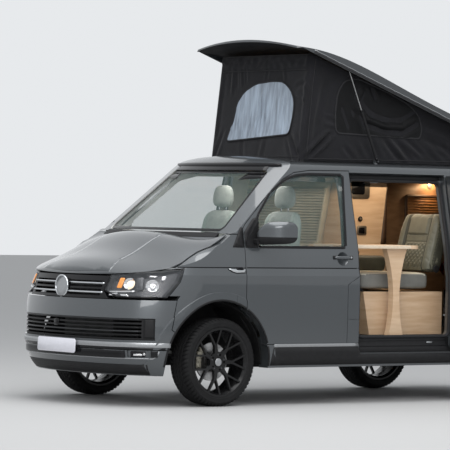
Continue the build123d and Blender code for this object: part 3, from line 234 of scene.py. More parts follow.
FINISHED_NODES = {
    UNDERBODY: "floor_pan front_subframe rear_axle fuel_tank", GLOSS: "grille", LENS: "headlamps",
    MOULDING: "intake_grille cowl mirror_left mirror_right roof_strut_cylinders",
    GLASS: "windscreen door_glass_left door_glass_right", CAST: "engine_block",
    PRIVACY: "side_windows sliding_door_glass tailgate_glass", RED_LENS: "tail_lamps",
    DASH: "dashboard steering_wheel", SEAT_CLOTH: "cab_seat_left cab_seat_right",
    BIRCH: "bench_base kitchen_unit table", LEATHER: "bench_cushion bench_back", CANVAS: "tent_fabric",
    IRON: "exhaust knuckle_left knuckle_right", LID_SHELL: "roof_lid", STEEL: "roof_strut_rods",
}


LINED = ("body_side_left", "body_side_right", "front_door_left", "front_door_right", "sliding_door")
PAINTED = LINED + ("roof_panel", "wing_left", "wing_right", "front_bumper", "front_valance",
                   "rear_bumper", "tailgate", "bonnet")
WHEELS = {"front_left": (0.814, -1.526), "front_right": (-0.814, -1.526), "rear_left": (0.814, 1.474),
          "rear_right": (-0.814, 1.474)}
KNUCKLES = {"front_left": "left_knuckle", "front_right": "right_knuckle"}
TYRE_R = 0.348
LAMP_OUT = Vector((0.42, -0.9, 0.1)).normalized()


def set_finish(node, *looks, pick=None):
    """Gives a CAD node its finishes; pick says whether a face has the second one."""
    mesh = NODES[node].data
    mesh.materials.clear()
    for look in looks:
        mesh.materials.append(look)
    if pick:
        for face in mesh.polygons:
            face.material_index = int(pick(face))


def looks_inwards(face):
    return face.normal.x * face.center.x < 0 and abs(face.normal.x) > 0.5


def behind_cover(face):
    """Whether a headlamp face lies deeper than the clear cover."""
    out = Vector((copysign(LAMP_OUT.x, face.center.x), LAMP_OUT.y, LAMP_OUT.z))
    place, _ = surface_at(["headlamps"], face.center + out * 0.5, -out)
    return (place - face.center).length > 0.012


def dress_cad_nodes():
    """Every CAD node gets its own finish, and some a second one on part of their faces."""
    for look, nodes in FINISHED_NODES.items():
        for node in nodes.split():
            set_finish(node, look)
    for corner in WHEELS:
        set_finish(f"rim_{corner}", ALLOY)
        set_finish(f"tyre_{corner}", RUBBER)
    for node in PAINTED:
        set_finish(node, PAINT, LINING, pick=looks_inwards if node in LINED else None)
    set_finish("headlamps", LENS, LAMP_BACK, pick=behind_cover)
    set_finish("roof_lid", LID_SHELL, LID_LINING, pick=lambda face: face.normal.z < -0.25)
    for _, word in SIDES:
        set_finish(f"knuckle_{word}", IRON, STEEL, pick=lambda face: abs(face.normal.x) > 0.9
                   and 0.784 < abs(face.center.x) < 0.804)


# Shared ways of making things

SKINS = {}
VIEWS = {
    "left": (lambda y, z: (OFF_SIDE, y, z), (-1, 0, 0)),
    "right": (lambda y, z: (-OFF_SIDE, y, z), (1, 0, 0)),
    "front": (lambda x, z: (x, -OFF_END, z), (0, 1, 0)),
    "tail": (lambda x, z: (x, OFF_END, z), (0, -1, 0)),
    "top": (lambda x, y: (x, y, OFF_TOP), (0, 0, -1)),
}


def skin(node):
    """Search tree of one CAD node's surface, kept after its first use."""
    if node not in SKINS:
        mesh = NODES[node].data
        corners = [vertex.co for vertex in mesh.vertices]
        faces = [tuple(face.vertices) for face in mesh.polygons]
        SKINS[node] = BVHTree.FromPolygons(corners, faces)
    return SKINS[node]


def surface_at(nodes, start, way):
    """Point and outward normal where a ray first meets any of the nodes, or just beside it at a gap."""
    start, way = Vector(start), Vector(way).normalized()
    beside = way.orthogonal().normalized()
    for reach in (0.0, 0.002, 0.005, 0.010, 0.020):
        for turn in (beside, -beside, way.cross(beside), beside.cross(way)):
            best = None
            for node in nodes:
                place, normal, _, far = skin(node).ray_cast(start + turn * reach, way)
                if place and (best is None or far < best[2]):
                    best = (place - turn * reach, normal, far)
            if best:
                return best[0], -best[1] if best[1].dot(way) > 0 else best[1]
    raise ValueError(f"nothing of {nodes} at {tuple(start)} along {tuple(way)}")


def seen(view, *nodes):
    """Function from two flat coordinates to the point and normal of the nodes seen from there."""
    start, way = VIEWS[view]
    return lambda a, b: surface_at(nodes, start(a, b), way)


def rounded(corners, radius, steps=6):
    """A closed flat outline with each corner turned into a short curve."""
    line = []
    for at, corner in enumerate(corners):
        here = Vector(corner)
        back, on = Vector(corners[at - 1]) - here, Vector(corners[(at + 1) % len(corners)]) - here
        reach = min(radius, back.length * 0.45, on.length * 0.45)
        start, end = here + back.normalized() * reach, here + on.normalized() * reach
        for step in range(steps + 1):
            share = step / steps
            line.append(start.lerp(here, share).lerp(here.lerp(end, share), share))
    return line


def spaced(line, gap, closed=False):
    """The same line with points no more than about a gap apart."""
    line = [Vector(point) for point in line]
    made = []
    for here, there in zip(line, line[1:] + line[:1] if closed else line[1:]):
        count = max(1, int((there - here).length / gap + 0.5))
        made += [here.lerp(there, step / count) for step in range(count)]
    return made if closed else made + [line[-1]]


def level(start, end, steps, *heights):
    """Evenly spaced flat points between two places, at one height or from one to another."""
    low, high = heights[0], heights[-1]
    return [Vector((start + (end - start) * step / steps, low + (high - low) * step / steps))
            for step in range(steps + 1)]


def hoop(centre, radius, count):
    """A level ring of points."""
    turns = [step * 2 * pi / count for step in range(count)]
    return [Vector(centre) + Vector((radius * cos(turn), radius * sin(turn), 0)) for turn in turns]


def placed(name, mesh, body):
    """An object for a mesh, lamp or camera, riding on a body if one is named."""
    piece = bpy.data.objects.new(name, mesh)
    bpy.context.scene.collection.objects.link(piece)
    if body:
        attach(piece, body)
    return piece


class Mass:
    """Points and faces gathered from several shapes into one piece."""

    def __init__(self):
        self.points, self.faces, self.which = [], [], []

    def add(self, points, faces, look=0):
        first = len(self.points)
        self.points += [Vector(point) for point in points]
        self.faces += [tuple(first + corner for corner in face) for face in faces]
        self.which += [look] * len(faces)

    def piece(self, name, looks, body="body"):
        mesh = bpy.data.meshes.new(name)
        mesh.from_pydata([tuple(point) for point in self.points], [], self.faces)
        for look in looks if isinstance(looks, list) else [looks]:
            mesh.materials.append(look)
        for face, index in zip(mesh.polygons, self.which):
            face.material_index = index
            face.use_smooth = True
        return placed(name, mesh, body)


DOME = ((-0.5, -0.6), (-0.5, 0.2), (-0.4, 0.75), (-0.18, 1.0), (0.18, 1.0), (0.4, 0.75), (0.5, 0.2),
        (0.5, -0.6))
FLAT = ((-0.5, -0.6), (-0.5, 0.8), (-0.44, 1.0), (0.44, 1.0), (0.5, 0.8), (0.5, -0.6))
TUBE = tuple((0.5 * cos(turn * pi / 5), 0.5 * sin(turn * pi / 5)) for turn in range(10))


def bands(rings, size, first=0, turned=False, closed=False, capped=False):
    """Quads between closed rings of points, and a face over each end if capped."""
    faces = []
    for ring in range(rings if closed else rings - 1):
        here, there = first + ring * size, first + (ring + 1) % rings * size
        for at in range(size):
            beside = (at + 1) % size
            faces.append((here + at, there + at, there + beside, here + beside) if turned else
                         (here + at, here + beside, there + beside, there + at))
    if capped:
        faces.append(tuple(range(size - 1, -1, -1)))
        faces.append(tuple((rings - 1) * size + at for at in range(size)))
    return faces


def fan(size):
    """Triangles from point 0 to the ring that follows it."""
    return [(0, 1 + at, 1 + (at + 1) % size) for at in range(size)]


def strip(mass, line, facing, width, height, section=DOME, closed=False, look=0):
    """Sweeps a section along a line; facing is the outward side, one for all or one for each point."""
    count = len(line)
    points = []
    for at in range(count):
        if closed:
            along = line[(at + 1) % count] - line[at - 1]
        else:
            along = line[min(at + 1, count - 1)] - line[max(at - 1, 0)]
        along.normalize()
        out = Vector(facing[at] if isinstance(facing, list) else facing)
        out = (out - along * out.dot(along)).normalized()
        across = along.cross(out)
        wide = width[at] if isinstance(width, list) else width
        points += [line[at] + across * a * wide + out * b * height for a, b in section]
    mass.add(points, bands(count, len(section), closed=closed, capped=not closed), look)


def laid(line, cast, lift=0.0):
    """Casts a flat line on to the bodywork: its points there and the normals."""
    found = [cast(point[0], point[1]) for point in line]
    return [place + normal * lift for place, normal in found], [normal for _, normal in found]


def strip_on(mass, line, cast, width, height, section=FLAT, closed=False, look=0, lift=0.0):
    """A strip along a flat line that is laid on the bodywork."""
    strip(mass, *laid(line, cast, lift), width, height, section, closed, look)


def apply_modifiers(piece):
    """The evaluated shape becomes the piece's own mesh."""
    graph = bpy.context.evaluated_depsgraph_get()
    made = bpy.data.meshes.new_from_object(piece.evaluated_get(graph), depsgraph=graph)
    piece.modifiers.clear()
    old = piece.data
    piece.data = made
    bpy.data.meshes.remove(old)
    piece.data.name = piece.name


def axes(facing):
    """Unit vectors out of a surface, along it and up it."""
    facing = Vector(facing).normalized()
    helper = UP if abs(facing.z) < 0.9 else Vector((0, 1, 0))
    across = facing.cross(helper).normalized()
    return facing, across, across.cross(facing)


def dish(mass, centre, facing, radius, depth, look, rings=5, spokes=24, squeeze=1.0):
    """A shallow bowl, open towards facing, with its rim at the centre's level."""
    facing, across, upward = axes(facing)
    points = [centre - facing * depth]
    for ring in range(1, rings + 1):
        share = ring / rings
        for spoke in range(spokes):
            turn = spoke / spokes * 2 * pi
            reach = radius * share
            points.append(centre + across * reach * cos(turn) + upward * reach * sin(turn) * squeeze
                          - facing * depth * (1 - share * share))
    mass.add(points, fan(spokes) + bands(rings, spokes, 1, turned=True), look)


def knob(mass, centre, facing, radius, height, look, spokes=20, dome=0.3):
    """A low round button with a domed front."""
    facing, across, upward = axes(facing)
    profile = ((1.0, 0.0), (1.0, 1.0 - dome), (0.88, 1.0 - dome * 0.35), (0.55, 1.0))
    points = []
    for reach, height_share in profile:
        for spoke in range(spokes):
            turn = spoke / spokes * 2 * pi
            points.append(Vector(centre) + (across * cos(turn) + upward * sin(turn)) * radius * reach
                          + facing * height * height_share)
    mass.add(points, bands(len(profile), spokes, capped=True), look)


def slab(mass, centre, facing, width, height, thick, look, slant=0.0):
    """A flat plate with small corner cuts, its back at the centre's level."""
    facing, across, upward = axes(facing)
    cut = min(width, height) * 0.12
    a, b = width / 2, height / 2
    outline = [(-a + cut, -b), (a - cut, -b), (a, -b + cut), (a, b - cut), (a - cut, b), (-a + cut, b),
               (-a, b - cut), (-a, -b + cut)]
    points = []
    for share, inset in ((0.0, 0.0), (0.75, 0.0), (1.0, 0.25 * thick)):
        for u, v in outline:
            u += slant * v
            points.append(Vector(centre) - across * (u - copysign(min(inset, abs(u)), u))
                          + upward * (v - copysign(min(inset, abs(v)), v)) + facing * thick * share)
    mass.add(points, bands(3, len(outline), capped=True), look)


def panel(mass, outline, cast, thick, look=0, gap=0.035, back=0.002):
    """A thin plate that follows the bodywork inside a flat outline."""
    edge = spaced(outline, gap, True)
    low, high = ([pick(point[axis] for point in edge) for axis in (0, 1)] for pick in (min, max))
    inner = []
    for row in range(1, int((high[1] - low[1]) / gap) + 1):
        for column in range(1, int((high[0] - low[0]) / gap) + 1):
            point = Vector((low[0] + column * gap, low[1] + row * gap))
            if min((point - other).length for other in edge) > gap * 0.45:
                inner.append(point)
    around = list(range(len(edge)))
    bounds = [(at, (at + 1) % len(edge)) for at in around]
    points, _, faces, _, _, _ = delaunay_2d_cdt(edge + inner, bounds, [tuple(around)], 1, 1e-6)
    used = sorted({corner for face in faces for corner in face})
    order = {old: new for new, old in enumerate(used)}
    faces = [tuple(order[corner] for corner in face) for face in faces]
    places, normals = laid([points[at] for at in used], cast)
    count = len(used)
    solid = [place + normal * thick for place, normal in zip(places, normals)]
    solid += [place - normal * back for place, normal in zip(places, normals)]
    pairs = {(face[at - 1], face[at]) for face in faces for at in range(len(face))}
    made = faces + [tuple(count + corner for corner in reversed(face)) for face in faces]
    made += [(end, start, count + start, count + end) for start, end in sorted(pairs)
             if (end, start) not in pairs]
    one, two, three = (solid[corner] for corner in faces[0][:3])
    if (two - one).cross(three - one).dot(normals[faces[0][0]]) < 0:
        made = [tuple(reversed(face)) for face in made]
    mass.add(solid, made, look)


# Roof tent: one sheet round four sides, with windows bound into it

TENT_HALF = 0.604
TENT_CORNER = 0.035
TENT_FEET_Y = (-0.519, 1.898)
TENT_HEAD = ((-0.417, 2.828), (1.907, 2.036))
TENT_FOOT_Z = 1.944
GATHER_Z = 2.70
# Folds: start and end in the panel, then height and width
FRONT_FOLDS = [
    ((0.44, 2.16), (0.585, 1.95), -0.012, 0.022), ((0.50, 2.15), (0.60, 2.00), 0.008, 0.018),
    ((0.40, 2.12), (0.50, 1.95), -0.008, 0.016), ((-0.42, 2.71), (-0.41, 2.52), 0.007, 0.016),
    ((-0.37, 2.71), (-0.35, 2.56), -0.006, 0.014), ((-0.31, 2.71), (-0.29, 2.58), 0.006, 0.014),
    ((-0.25, 2.71), (-0.23, 2.61), -0.005, 0.012), ((0.46, 2.50), (0.60, 2.44), 0.007, 0.016),
    ((0.45, 2.56), (0.58, 2.60), -0.006, 0.018), ((-0.56, 2.70), (-0.58, 2.02), 0.008, 0.022),
    ((-0.47, 2.20), (-0.55, 1.96), -0.008, 0.018), ((0.56, 2.70), (0.60, 2.05), 0.007, 0.020),
    ((-0.20, 2.12), (-0.16, 1.96), -0.004, 0.020), ((0.08, 2.12), (0.06, 1.96), 0.004, 0.022),
    ((0.26, 2.70), (0.28, 2.63), 0.004, 0.014), ((0.05, 2.71), (0.04, 2.64), -0.004, 0.014),
]
SIDE_FOLDS = [
    ((-0.19, 2.19), (-0.47, 1.96), -0.016, 0.018), ((-0.16, 2.17), (-0.43, 1.955), 0.012, 0.016),
    ((-0.25, 2.20), (-0.485, 2.00), 0.010, 0.016), ((-0.33, 2.60), (-0.44, 2.02), 0.008, 0.030),
    ((-0.25, 2.66), (-0.38, 2.20), -0.005, 0.026), ((-0.26, 2.34), (-0.15, 2.32), 0.005, 0.010),
    ((-0.25, 2.30), (-0.15, 2.28), -0.005, 0.010), ((-0.26, 2.26), (-0.15, 2.25), 0.005, 0.010),
    ((-0.25, 2.22), (-0.15, 2.22), -0.005, 0.010), ((0.38, 2.15), (0.57, 1.955), -0.010, 0.020),
    ((0.43, 2.15), (0.63, 1.955), 0.008, 0.018), ((0.51, 2.15), (0.70, 1.96), -0.010, 0.018),
    ((0.58, 2.14), (0.76, 2.02), 0.008, 0.018), ((0.66, 2.14), (0.80, 2.03), -0.007, 0.016),
    ((-0.05, 2.08), (0.07, 1.95), -0.009, 0.018), ((0.10, 2.12), (0.20, 1.96), 0.006, 0.020),
    ((0.24, 2.14), (0.35, 1.96), -0.006, 0.022), ((0.80, 2.17), (1.10, 2.08), -0.010, 0.020),
    ((0.81, 2.24), (1.09, 2.16), 0.009, 0.022), ((0.82, 2.31), (1.20, 2.21), -0.008, 0.026),
    ((0.86, 2.10), (1.04, 1.97), 0.008, 0.022), ((1.00, 2.12), (1.20, 1.98), -0.008, 0.022),
    ((1.20, 2.19), (1.46, 2.07), 0.007, 0.028), ((1.24, 2.08), (1.42, 1.97), -0.007, 0.024),
    ((1.50, 2.10), (1.66, 1.99), 0.006, 0.022),
]
FRONT_WINDOW = [(0.423, 2.172), (0.450, 2.322), (0.446, 2.433), (0.387, 2.531), (0.276, 2.603),
                (0.138, 2.612), (-0.086, 2.594), (-0.235, 2.531), (-0.324, 2.433), (-0.346, 2.266),
                (-0.414, 2.116)]
SIDE_WINDOW = [(-0.138, 2.190), (-0.148, 2.36), (-0.130, 2.52), (-0.060, 2.625), (0.075, 2.645),
               (0.41, 2.54), (0.64, 2.445), (0.745, 2.36), (0.785, 2.26), (0.775, 2.168)]
FILM_FOLDS = [
    ((-0.25, 2.52), (-0.29, 2.16), 0.007, 0.009), ((-0.19, 2.40), (-0.22, 2.16), -0.006, 0.008),
    ((-0.10, 2.42), (-0.14, 2.15), 0.006, 0.008), ((0.02, 2.56), (-0.07, 2.16), 0.008, 0.010),
    ((0.06, 2.54), (-0.01, 2.16), -0.007, 0.009), ((0.09, 2.42), (0.03, 2.16), 0.007, 0.009),
    ((0.28, 2.54), (0.27, 2.18), 0.006, 0.009), ((0.33, 2.55), (0.34, 2.18), -0.006, 0.009),
    ((0.37, 2.50), (0.38, 2.17), 0.006, 0.009), ((-0.34, 2.44), (-0.37, 2.17), 0.006, 0.009),
    ((0.18, 2.34), (0.15, 2.16), 0.004, 0.010), ((-0.38, 2.34), (-0.40, 2.16), -0.005, 0.008),
]
NET_FOLDS = [
    ((0.10, 2.40), (0.20, 2.31), 0.012, 0.026), ((0.20, 2.31), (0.36, 2.265), 0.014, 0.026),
    ((0.36, 2.265), (0.56, 2.265), 0.014, 0.024), ((0.56, 2.265), (0.71, 2.34), 0.012, 0.024),
    ((0.22, 2.26), (0.40, 2.21), -0.010, 0.020), ((0.40, 2.21), (0.58, 2.205), -0.010, 0.020),
    ((0.58, 2.205), (0.73, 2.28), -0.010, 0.020), ((0.13, 2.55), (0.07, 2.44), 0.008, 0.018),
    ((0.22, 2.58), (0.27, 2.49), -0.008, 0.018), ((0.02, 2.50), (0.14, 2.20), 0.006, 0.022),
    ((-0.08, 2.40), (0.00, 2.22), -0.006, 0.022),
]


def fold_height(folds, place):
    """How far the cloth stands out where these folds pass."""
    total = 0.0
    for start, end, height, width in folds:
        run = Vector(end) - Vector(start)
        length = run.length
        run /= length
        away = place - Vector(start)
        along = away.dot(run)
        off = (away.x * run.y - away.y * run.x) / width
        if not -width * 3 <= along <= length + width * 3 or abs(off) > 3.5:
            continue
        over = max(0.0, -along, along - length) / (width * 2)
        fade = min(1.0, (along + width * 2) / (length * 0.35), (length + width * 2 - along) / (length * 0.35))
        ridge = bell(off) - 0.55 * bell(abs(off) - 1.9)
        total += height * ridge * max(0.0, fade) * bell(over)
    return total


def tent_span(y):
    """Height of the sheet's upper edge at a place along the lid."""
    (y0, z0), (y1, z1) = TENT_HEAD
    return z0 + (y - y0) * (z1 - z0) / (y1 - y0)


def tent_foot(x, y):
    """Height of the roof under the sheet's lower edge."""
    inward = Vector((x - copysign(0.006, x) if abs(x) > 0.56 else x,
                     max(TENT_FEET_Y[0] + 0.005, min(TENT_FEET_Y[1] - 0.005, y)), 1.80))
    place = skin("tent_fabric").ray_cast(inward, UP)[0]
    return place.z if place else TENT_FOOT_Z


def front_cloth(x, z, lift=0.0, folds=()):
    """Point on the tent's front panel, with its folds."""
    share = clamp((z - TENT_FOOT_Z) / (TENT_HEAD[0][1] - TENT_FOOT_Z))
    flat = Vector((x, z))
    belly = -0.014 * sin(pi * share) * cos(pi * x / (TENT_HALF * 2.1))
    height = belly + fold_height(FRONT_FOLDS, flat) + fold_height(folds, flat) + lift
    height += 0.004 * noise.noise(Vector((x * 5, z * 5, 0.7)))
    if z > GATHER_Z:
        crumple = noise.noise(Vector((x * 16, z * 30, 3.1)))
        height += min(1, (z - GATHER_Z) / 0.03) * min(1, (2.83 - z) / 0.02) * (0.012 + 0.010 * crumple)
    elif z > GATHER_Z - 0.02:
        height -= 0.005 * (z - GATHER_Z + 0.02) / 0.02
    y = TENT_FEET_Y[0] + share * (TENT_HEAD[0][0] - TENT_FEET_Y[0])
    return Vector((x, y - height, z))


def side_cloth(y, z, side, lift=0.0, folds=()):
    """Point on a side panel of the tent, with its folds."""
    flat = Vector((y, z))
    share = clamp((z - TENT_FOOT_Z) / max(0.05, tent_span(y) - TENT_FOOT_Z))
    fall = clamp((1.9 - y) / 1.2)
    height = -0.012 * sin(pi * share) * fall * min(1, (y + 0.52) / 0.3)
    height += (fold_height(SIDE_FOLDS, flat) + fold_height(folds, flat)) * (0.35 + 0.65 * fall)
    height += 0.003 * noise.noise(Vector((y * 5, z * 6, side * 4)))
    slack = min(1, share * 8, (1 - share) * 8)
    return Vector((side * (TENT_HALF + height * slack + lift), y, z))


def tent_columns(rows):
    """Upright lines of points round the tent, from its foot to its head."""
    near, far = TENT_FEET_Y
    (head_near, top), (head_far, tail_top) = TENT_HEAD
    half, corner = TENT_HALF, TENT_CORNER
    columns = []

    def column(foot_y, head_y, low, high, shape):
        columns.append([shape(foot_y + (head_y - foot_y) * row / rows, low + (high - low) * row / rows)
                        for row in range(rows + 1)])

    def turn_corner(side, foot_y, head_y, inwards, turns):
        for turn in turns:
            x = side * (half - corner * (1 - sin(radians(turn))))
            shift = inwards * corner * (1 - cos(radians(turn)))
            column(foot_y, head_y, tent_foot(side * half, foot_y + inwards * corner),
                   tent_span(head_y + shift), lambda y, z: Vector((x, y + shift, z)))

    def run_side(side, shares):
        for share in shares:
            foot_y = near + corner + share * (far - near - 2 * corner)
            head_y = head_near + corner + share * (head_far - head_near - 2 * corner)
            column(foot_y, head_y, tent_foot(side * half, foot_y), tent_span(head_y),
                   lambda y, z: side_cloth(y, z, side))

    shares = [step / 130 * 0.72 + 0.28 * (step / 130) ** 2.2 for step in range(131)]
    for step in range(-48, 49):
        x = (half - corner) * step / 48
        column(near, head_near, tent_foot(x, near), top, lambda y, z: front_cloth(x, z))
    turn_corner(1, near, head_near, 1, (18, 36, 54, 72))
    run_side(1, shares)
    turn_corner(1, far, head_far, -1, (72, 36))
    for step in range(13):
        x = (half - corner) * (1 - step / 6)
        column(far, head_far, tent_foot(x, far), tail_top, lambda y, z: Vector((x, y, z)))
    turn_corner(-1, far, head_far, -1, (36, 72))
    run_side(-1, reversed(shares))
    turn_corner(-1, near, head_near, 1, (72, 54, 36, 18))
    return columns


def make_tent():
    """The sheet itself, with rounded corners, folds, and a gathered band under the lid."""
    rows = 60
    columns = tent_columns(rows)
    count, high = len(columns), rows + 1
    faces = []
    for at in range(count):
        here, there = at * high, (at + 1) % count * high
        faces += [(here + row, there + row, there + row + 1, here + row + 1) for row in range(rows)]
    cloth = Mass()
    cloth.add([point for column in columns for point in column], faces)
    tent = cloth.piece("tent_sheet", CANVAS, None)
    shell = tent.modifiers.new("cloth", "SOLIDIFY")
    shell.thickness = 0.0015
    shell.offset = -1
    apply_modifiers(tent)
    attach(tent, "body")
    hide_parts("tent_fabric")
    fold_down(tent)


def fold_down(piece):
    """Gives a tent piece its own copy of its mesh."""
    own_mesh(piece)


def window_film(name, outline, place, look, way, gap):
    """A panel set in the cloth, facing a way: rings of points from its middle to its outline."""
    rings = 26
    edge = spaced(rounded(outline, 0.05), gap, closed=True)
    middle = sum(edge, Vector((0, 0))) / len(edge)
    points = [place(*middle)]
    for ring in range(1, rings + 1):
        points += [place(*middle.lerp(point, ring / rings)) for point in edge]
    window = Mass()
    window.add(points, fan(len(edge)) + bands(rings, len(edge), 1, turned=True))
    film = window.piece(name, look)
    if sum((face.normal.dot(way) for face in film.data.polygons), 0.0) < 0:
        film.data.flip_normals()
    fold_down(film)
    return edge


def make_tent_windows():
    """Pale film in the front panel, dark net in the sides, each with its binding and seam."""
    bindings = Mass()
    edge = window_film("tent_front_window", FRONT_WINDOW,
                       lambda x, z: front_cloth(x, z, 0.007, FILM_FOLDS), FILM, Vector((0, -1, 0)), 0.008)
    line = [front_cloth(*point, 0.006) for point in edge]
    strip(bindings, line, (0, -1, 0.1), 0.012, 0.004, closed=True)
    head, foot = (TENT_HEAD[0][0] + 0.045, 2.79), (TENT_FEET_Y[0] + 0.062, 1.965)
    for side, name in SIDES:
        out = Vector((side, 0, 0))
        edge = window_film(f"tent_{name}_window", SIDE_WINDOW,
                           lambda y, z: side_cloth(y, z, side, 0.003, NET_FOLDS), NET, out, 0.012)
        line = [side_cloth(*point, side, 0.002) for point in edge]
        strip(bindings, line, out, 0.014, 0.004, closed=True)
        for ends, gap, width in (((head, foot), 0.02, 0.007),
                                 (((-0.43, 1.975), (1.80, 1.990)), 0.03, 0.008)):
            line = [side_cloth(*point, side, 0.001) for point in spaced(ends, gap)]
            strip(bindings, line, out, width, 0.003)
    for z, width, height in ((1.990, 0.008, 0.003), (GATHER_Z, 0.010, 0.004)):
        line = [front_cloth(*point, 0.001) for point in spaced([(-0.56, z), (0.56, z)], 0.02)]
        strip(bindings, line, (0, -1, 0), width, height)
    fold_down(bindings.piece("tent_bindings", WEBBING))
    rail = Mass()
    x, near, far = TENT_HALF + 0.008, TENT_FEET_Y[0] - 0.006, 1.90
    ring = spaced(rounded([(x, near), (x, far), (-x, far), (-x, near)], 0.04), 0.03, closed=True)
    line = [Vector((*point, tent_foot(*point) + 0.002)) for point in ring]
    strip(rail, line, UP, 0.013, 0.006, section=FLAT, closed=True)
    rail.piece("tent_base_rail", MOULDING)


# Front end: lamps, bars, trim strips and a blank plate

def make_headlamp_insides():
    """Reflector bowls, bulbs and an amber filter with painted glow, and a bright strip behind each cover."""
    for side, word in SIDES:
        inside = Mass()

        def behind(x, z, depth):
            place, normal = seen("front", "headlamps")(side * x, z)
            return place - normal * depth, normal

        for x, z, depth, radius, squeeze, back, bulb in (
                (0.668, 0.962, 0.016, 0.047, 1.0, 0.020, (0.026, 0.016, 3)),
                (0.815, 0.948, 0.016, 0.052, 0.92, 0.022, (0.016, 0.018, 1))):
            centre, out = behind(x, z, depth)
            dish(inside, centre, out, radius, 0.024, 1, squeeze=squeeze)
            knob(inside, centre - out * back, out, *bulb, dome=0.8)
        for x, z, depth, width, height, thick, look, slant in (
                (0.604, 0.965, 0.014, 0.042, 0.084, 0.006, 2, 0.2),
                (0.738, 0.965, 0.030, 0.056, 0.105, 0.010, 0, 0.0),
                (0.855, 1.006, 0.014, 0.036, 0.032, 0.005, 1, 0.3),
                (0.800, 1.020, 0.016, 0.060, 0.012, 0.005, 1, 0.8),
                (0.560, 0.876, 0.018, 0.07, 0.022, 0.005, 1, 0.9),
                (0.655, 0.868, 0.018, 0.06, 0.022, 0.005, 1, -0.9)):
            slab(inside, *behind(x, z, depth), width, height, thick, look, slant)
        line, facing = zip(*(behind(*point, 0.013) for point in level(0.512, 0.722, 12, 0.893, 0.901)))
        strip(inside, line, list(facing), 0.013, 0.005, look=1)
        inside.piece(f"headlamp_insides_{word}", [LAMP_BACK, MIRRORED, AMBER_PAINTED_GLOW, BULB_PAINTED_GLOW])


def foremost(node, x, z):
    """Point and normal where a ray from in front meets the node."""
    return skin(node).ray_cast(Vector((x, -OFF_END, z)), Vector((0, 1, 0)))[:2]


def front_line(node, start, end, z, lift, steps=28, window=0.012):
    """A level line across the nose that keeps to its foremost surface near one height."""
    line = []
    for x, _ in level(start, end, steps, z):
        hits = [foremost(node, x, z + window * share)[0] for share in (-1, -0.5, 0, 0.5, 1)]
        found = [place.y for place in hits if place]
        if found:
            line.append(Vector((x, min(found) - lift, z)))
    last = len(line) - 1
    middle = [sorted(line[max(0, min(last, at + shift))].y for shift in (-2, -1, 0, 1, 2))[2]
              for at in range(last + 1)]
    for at in range(1, last):
        line[at].y = (middle[at - 1] + 2 * middle[at] + middle[at + 1]) / 4
    return line


def bow(mass, line, width, height, section=FLAT, look=0):
    """A strip on a line that bows round the nose, facing level outwards."""
    ways = []
    for at in range(len(line)):
        along = line[min(at + 1, len(line) - 1)] - line[max(at - 1, 0)]
        way = Vector((along.y, -along.x, 0)).normalized()
        ways.append(way if way.y < 0 else -way)
    strip(mass, line, ways, width, height, section, look=look)


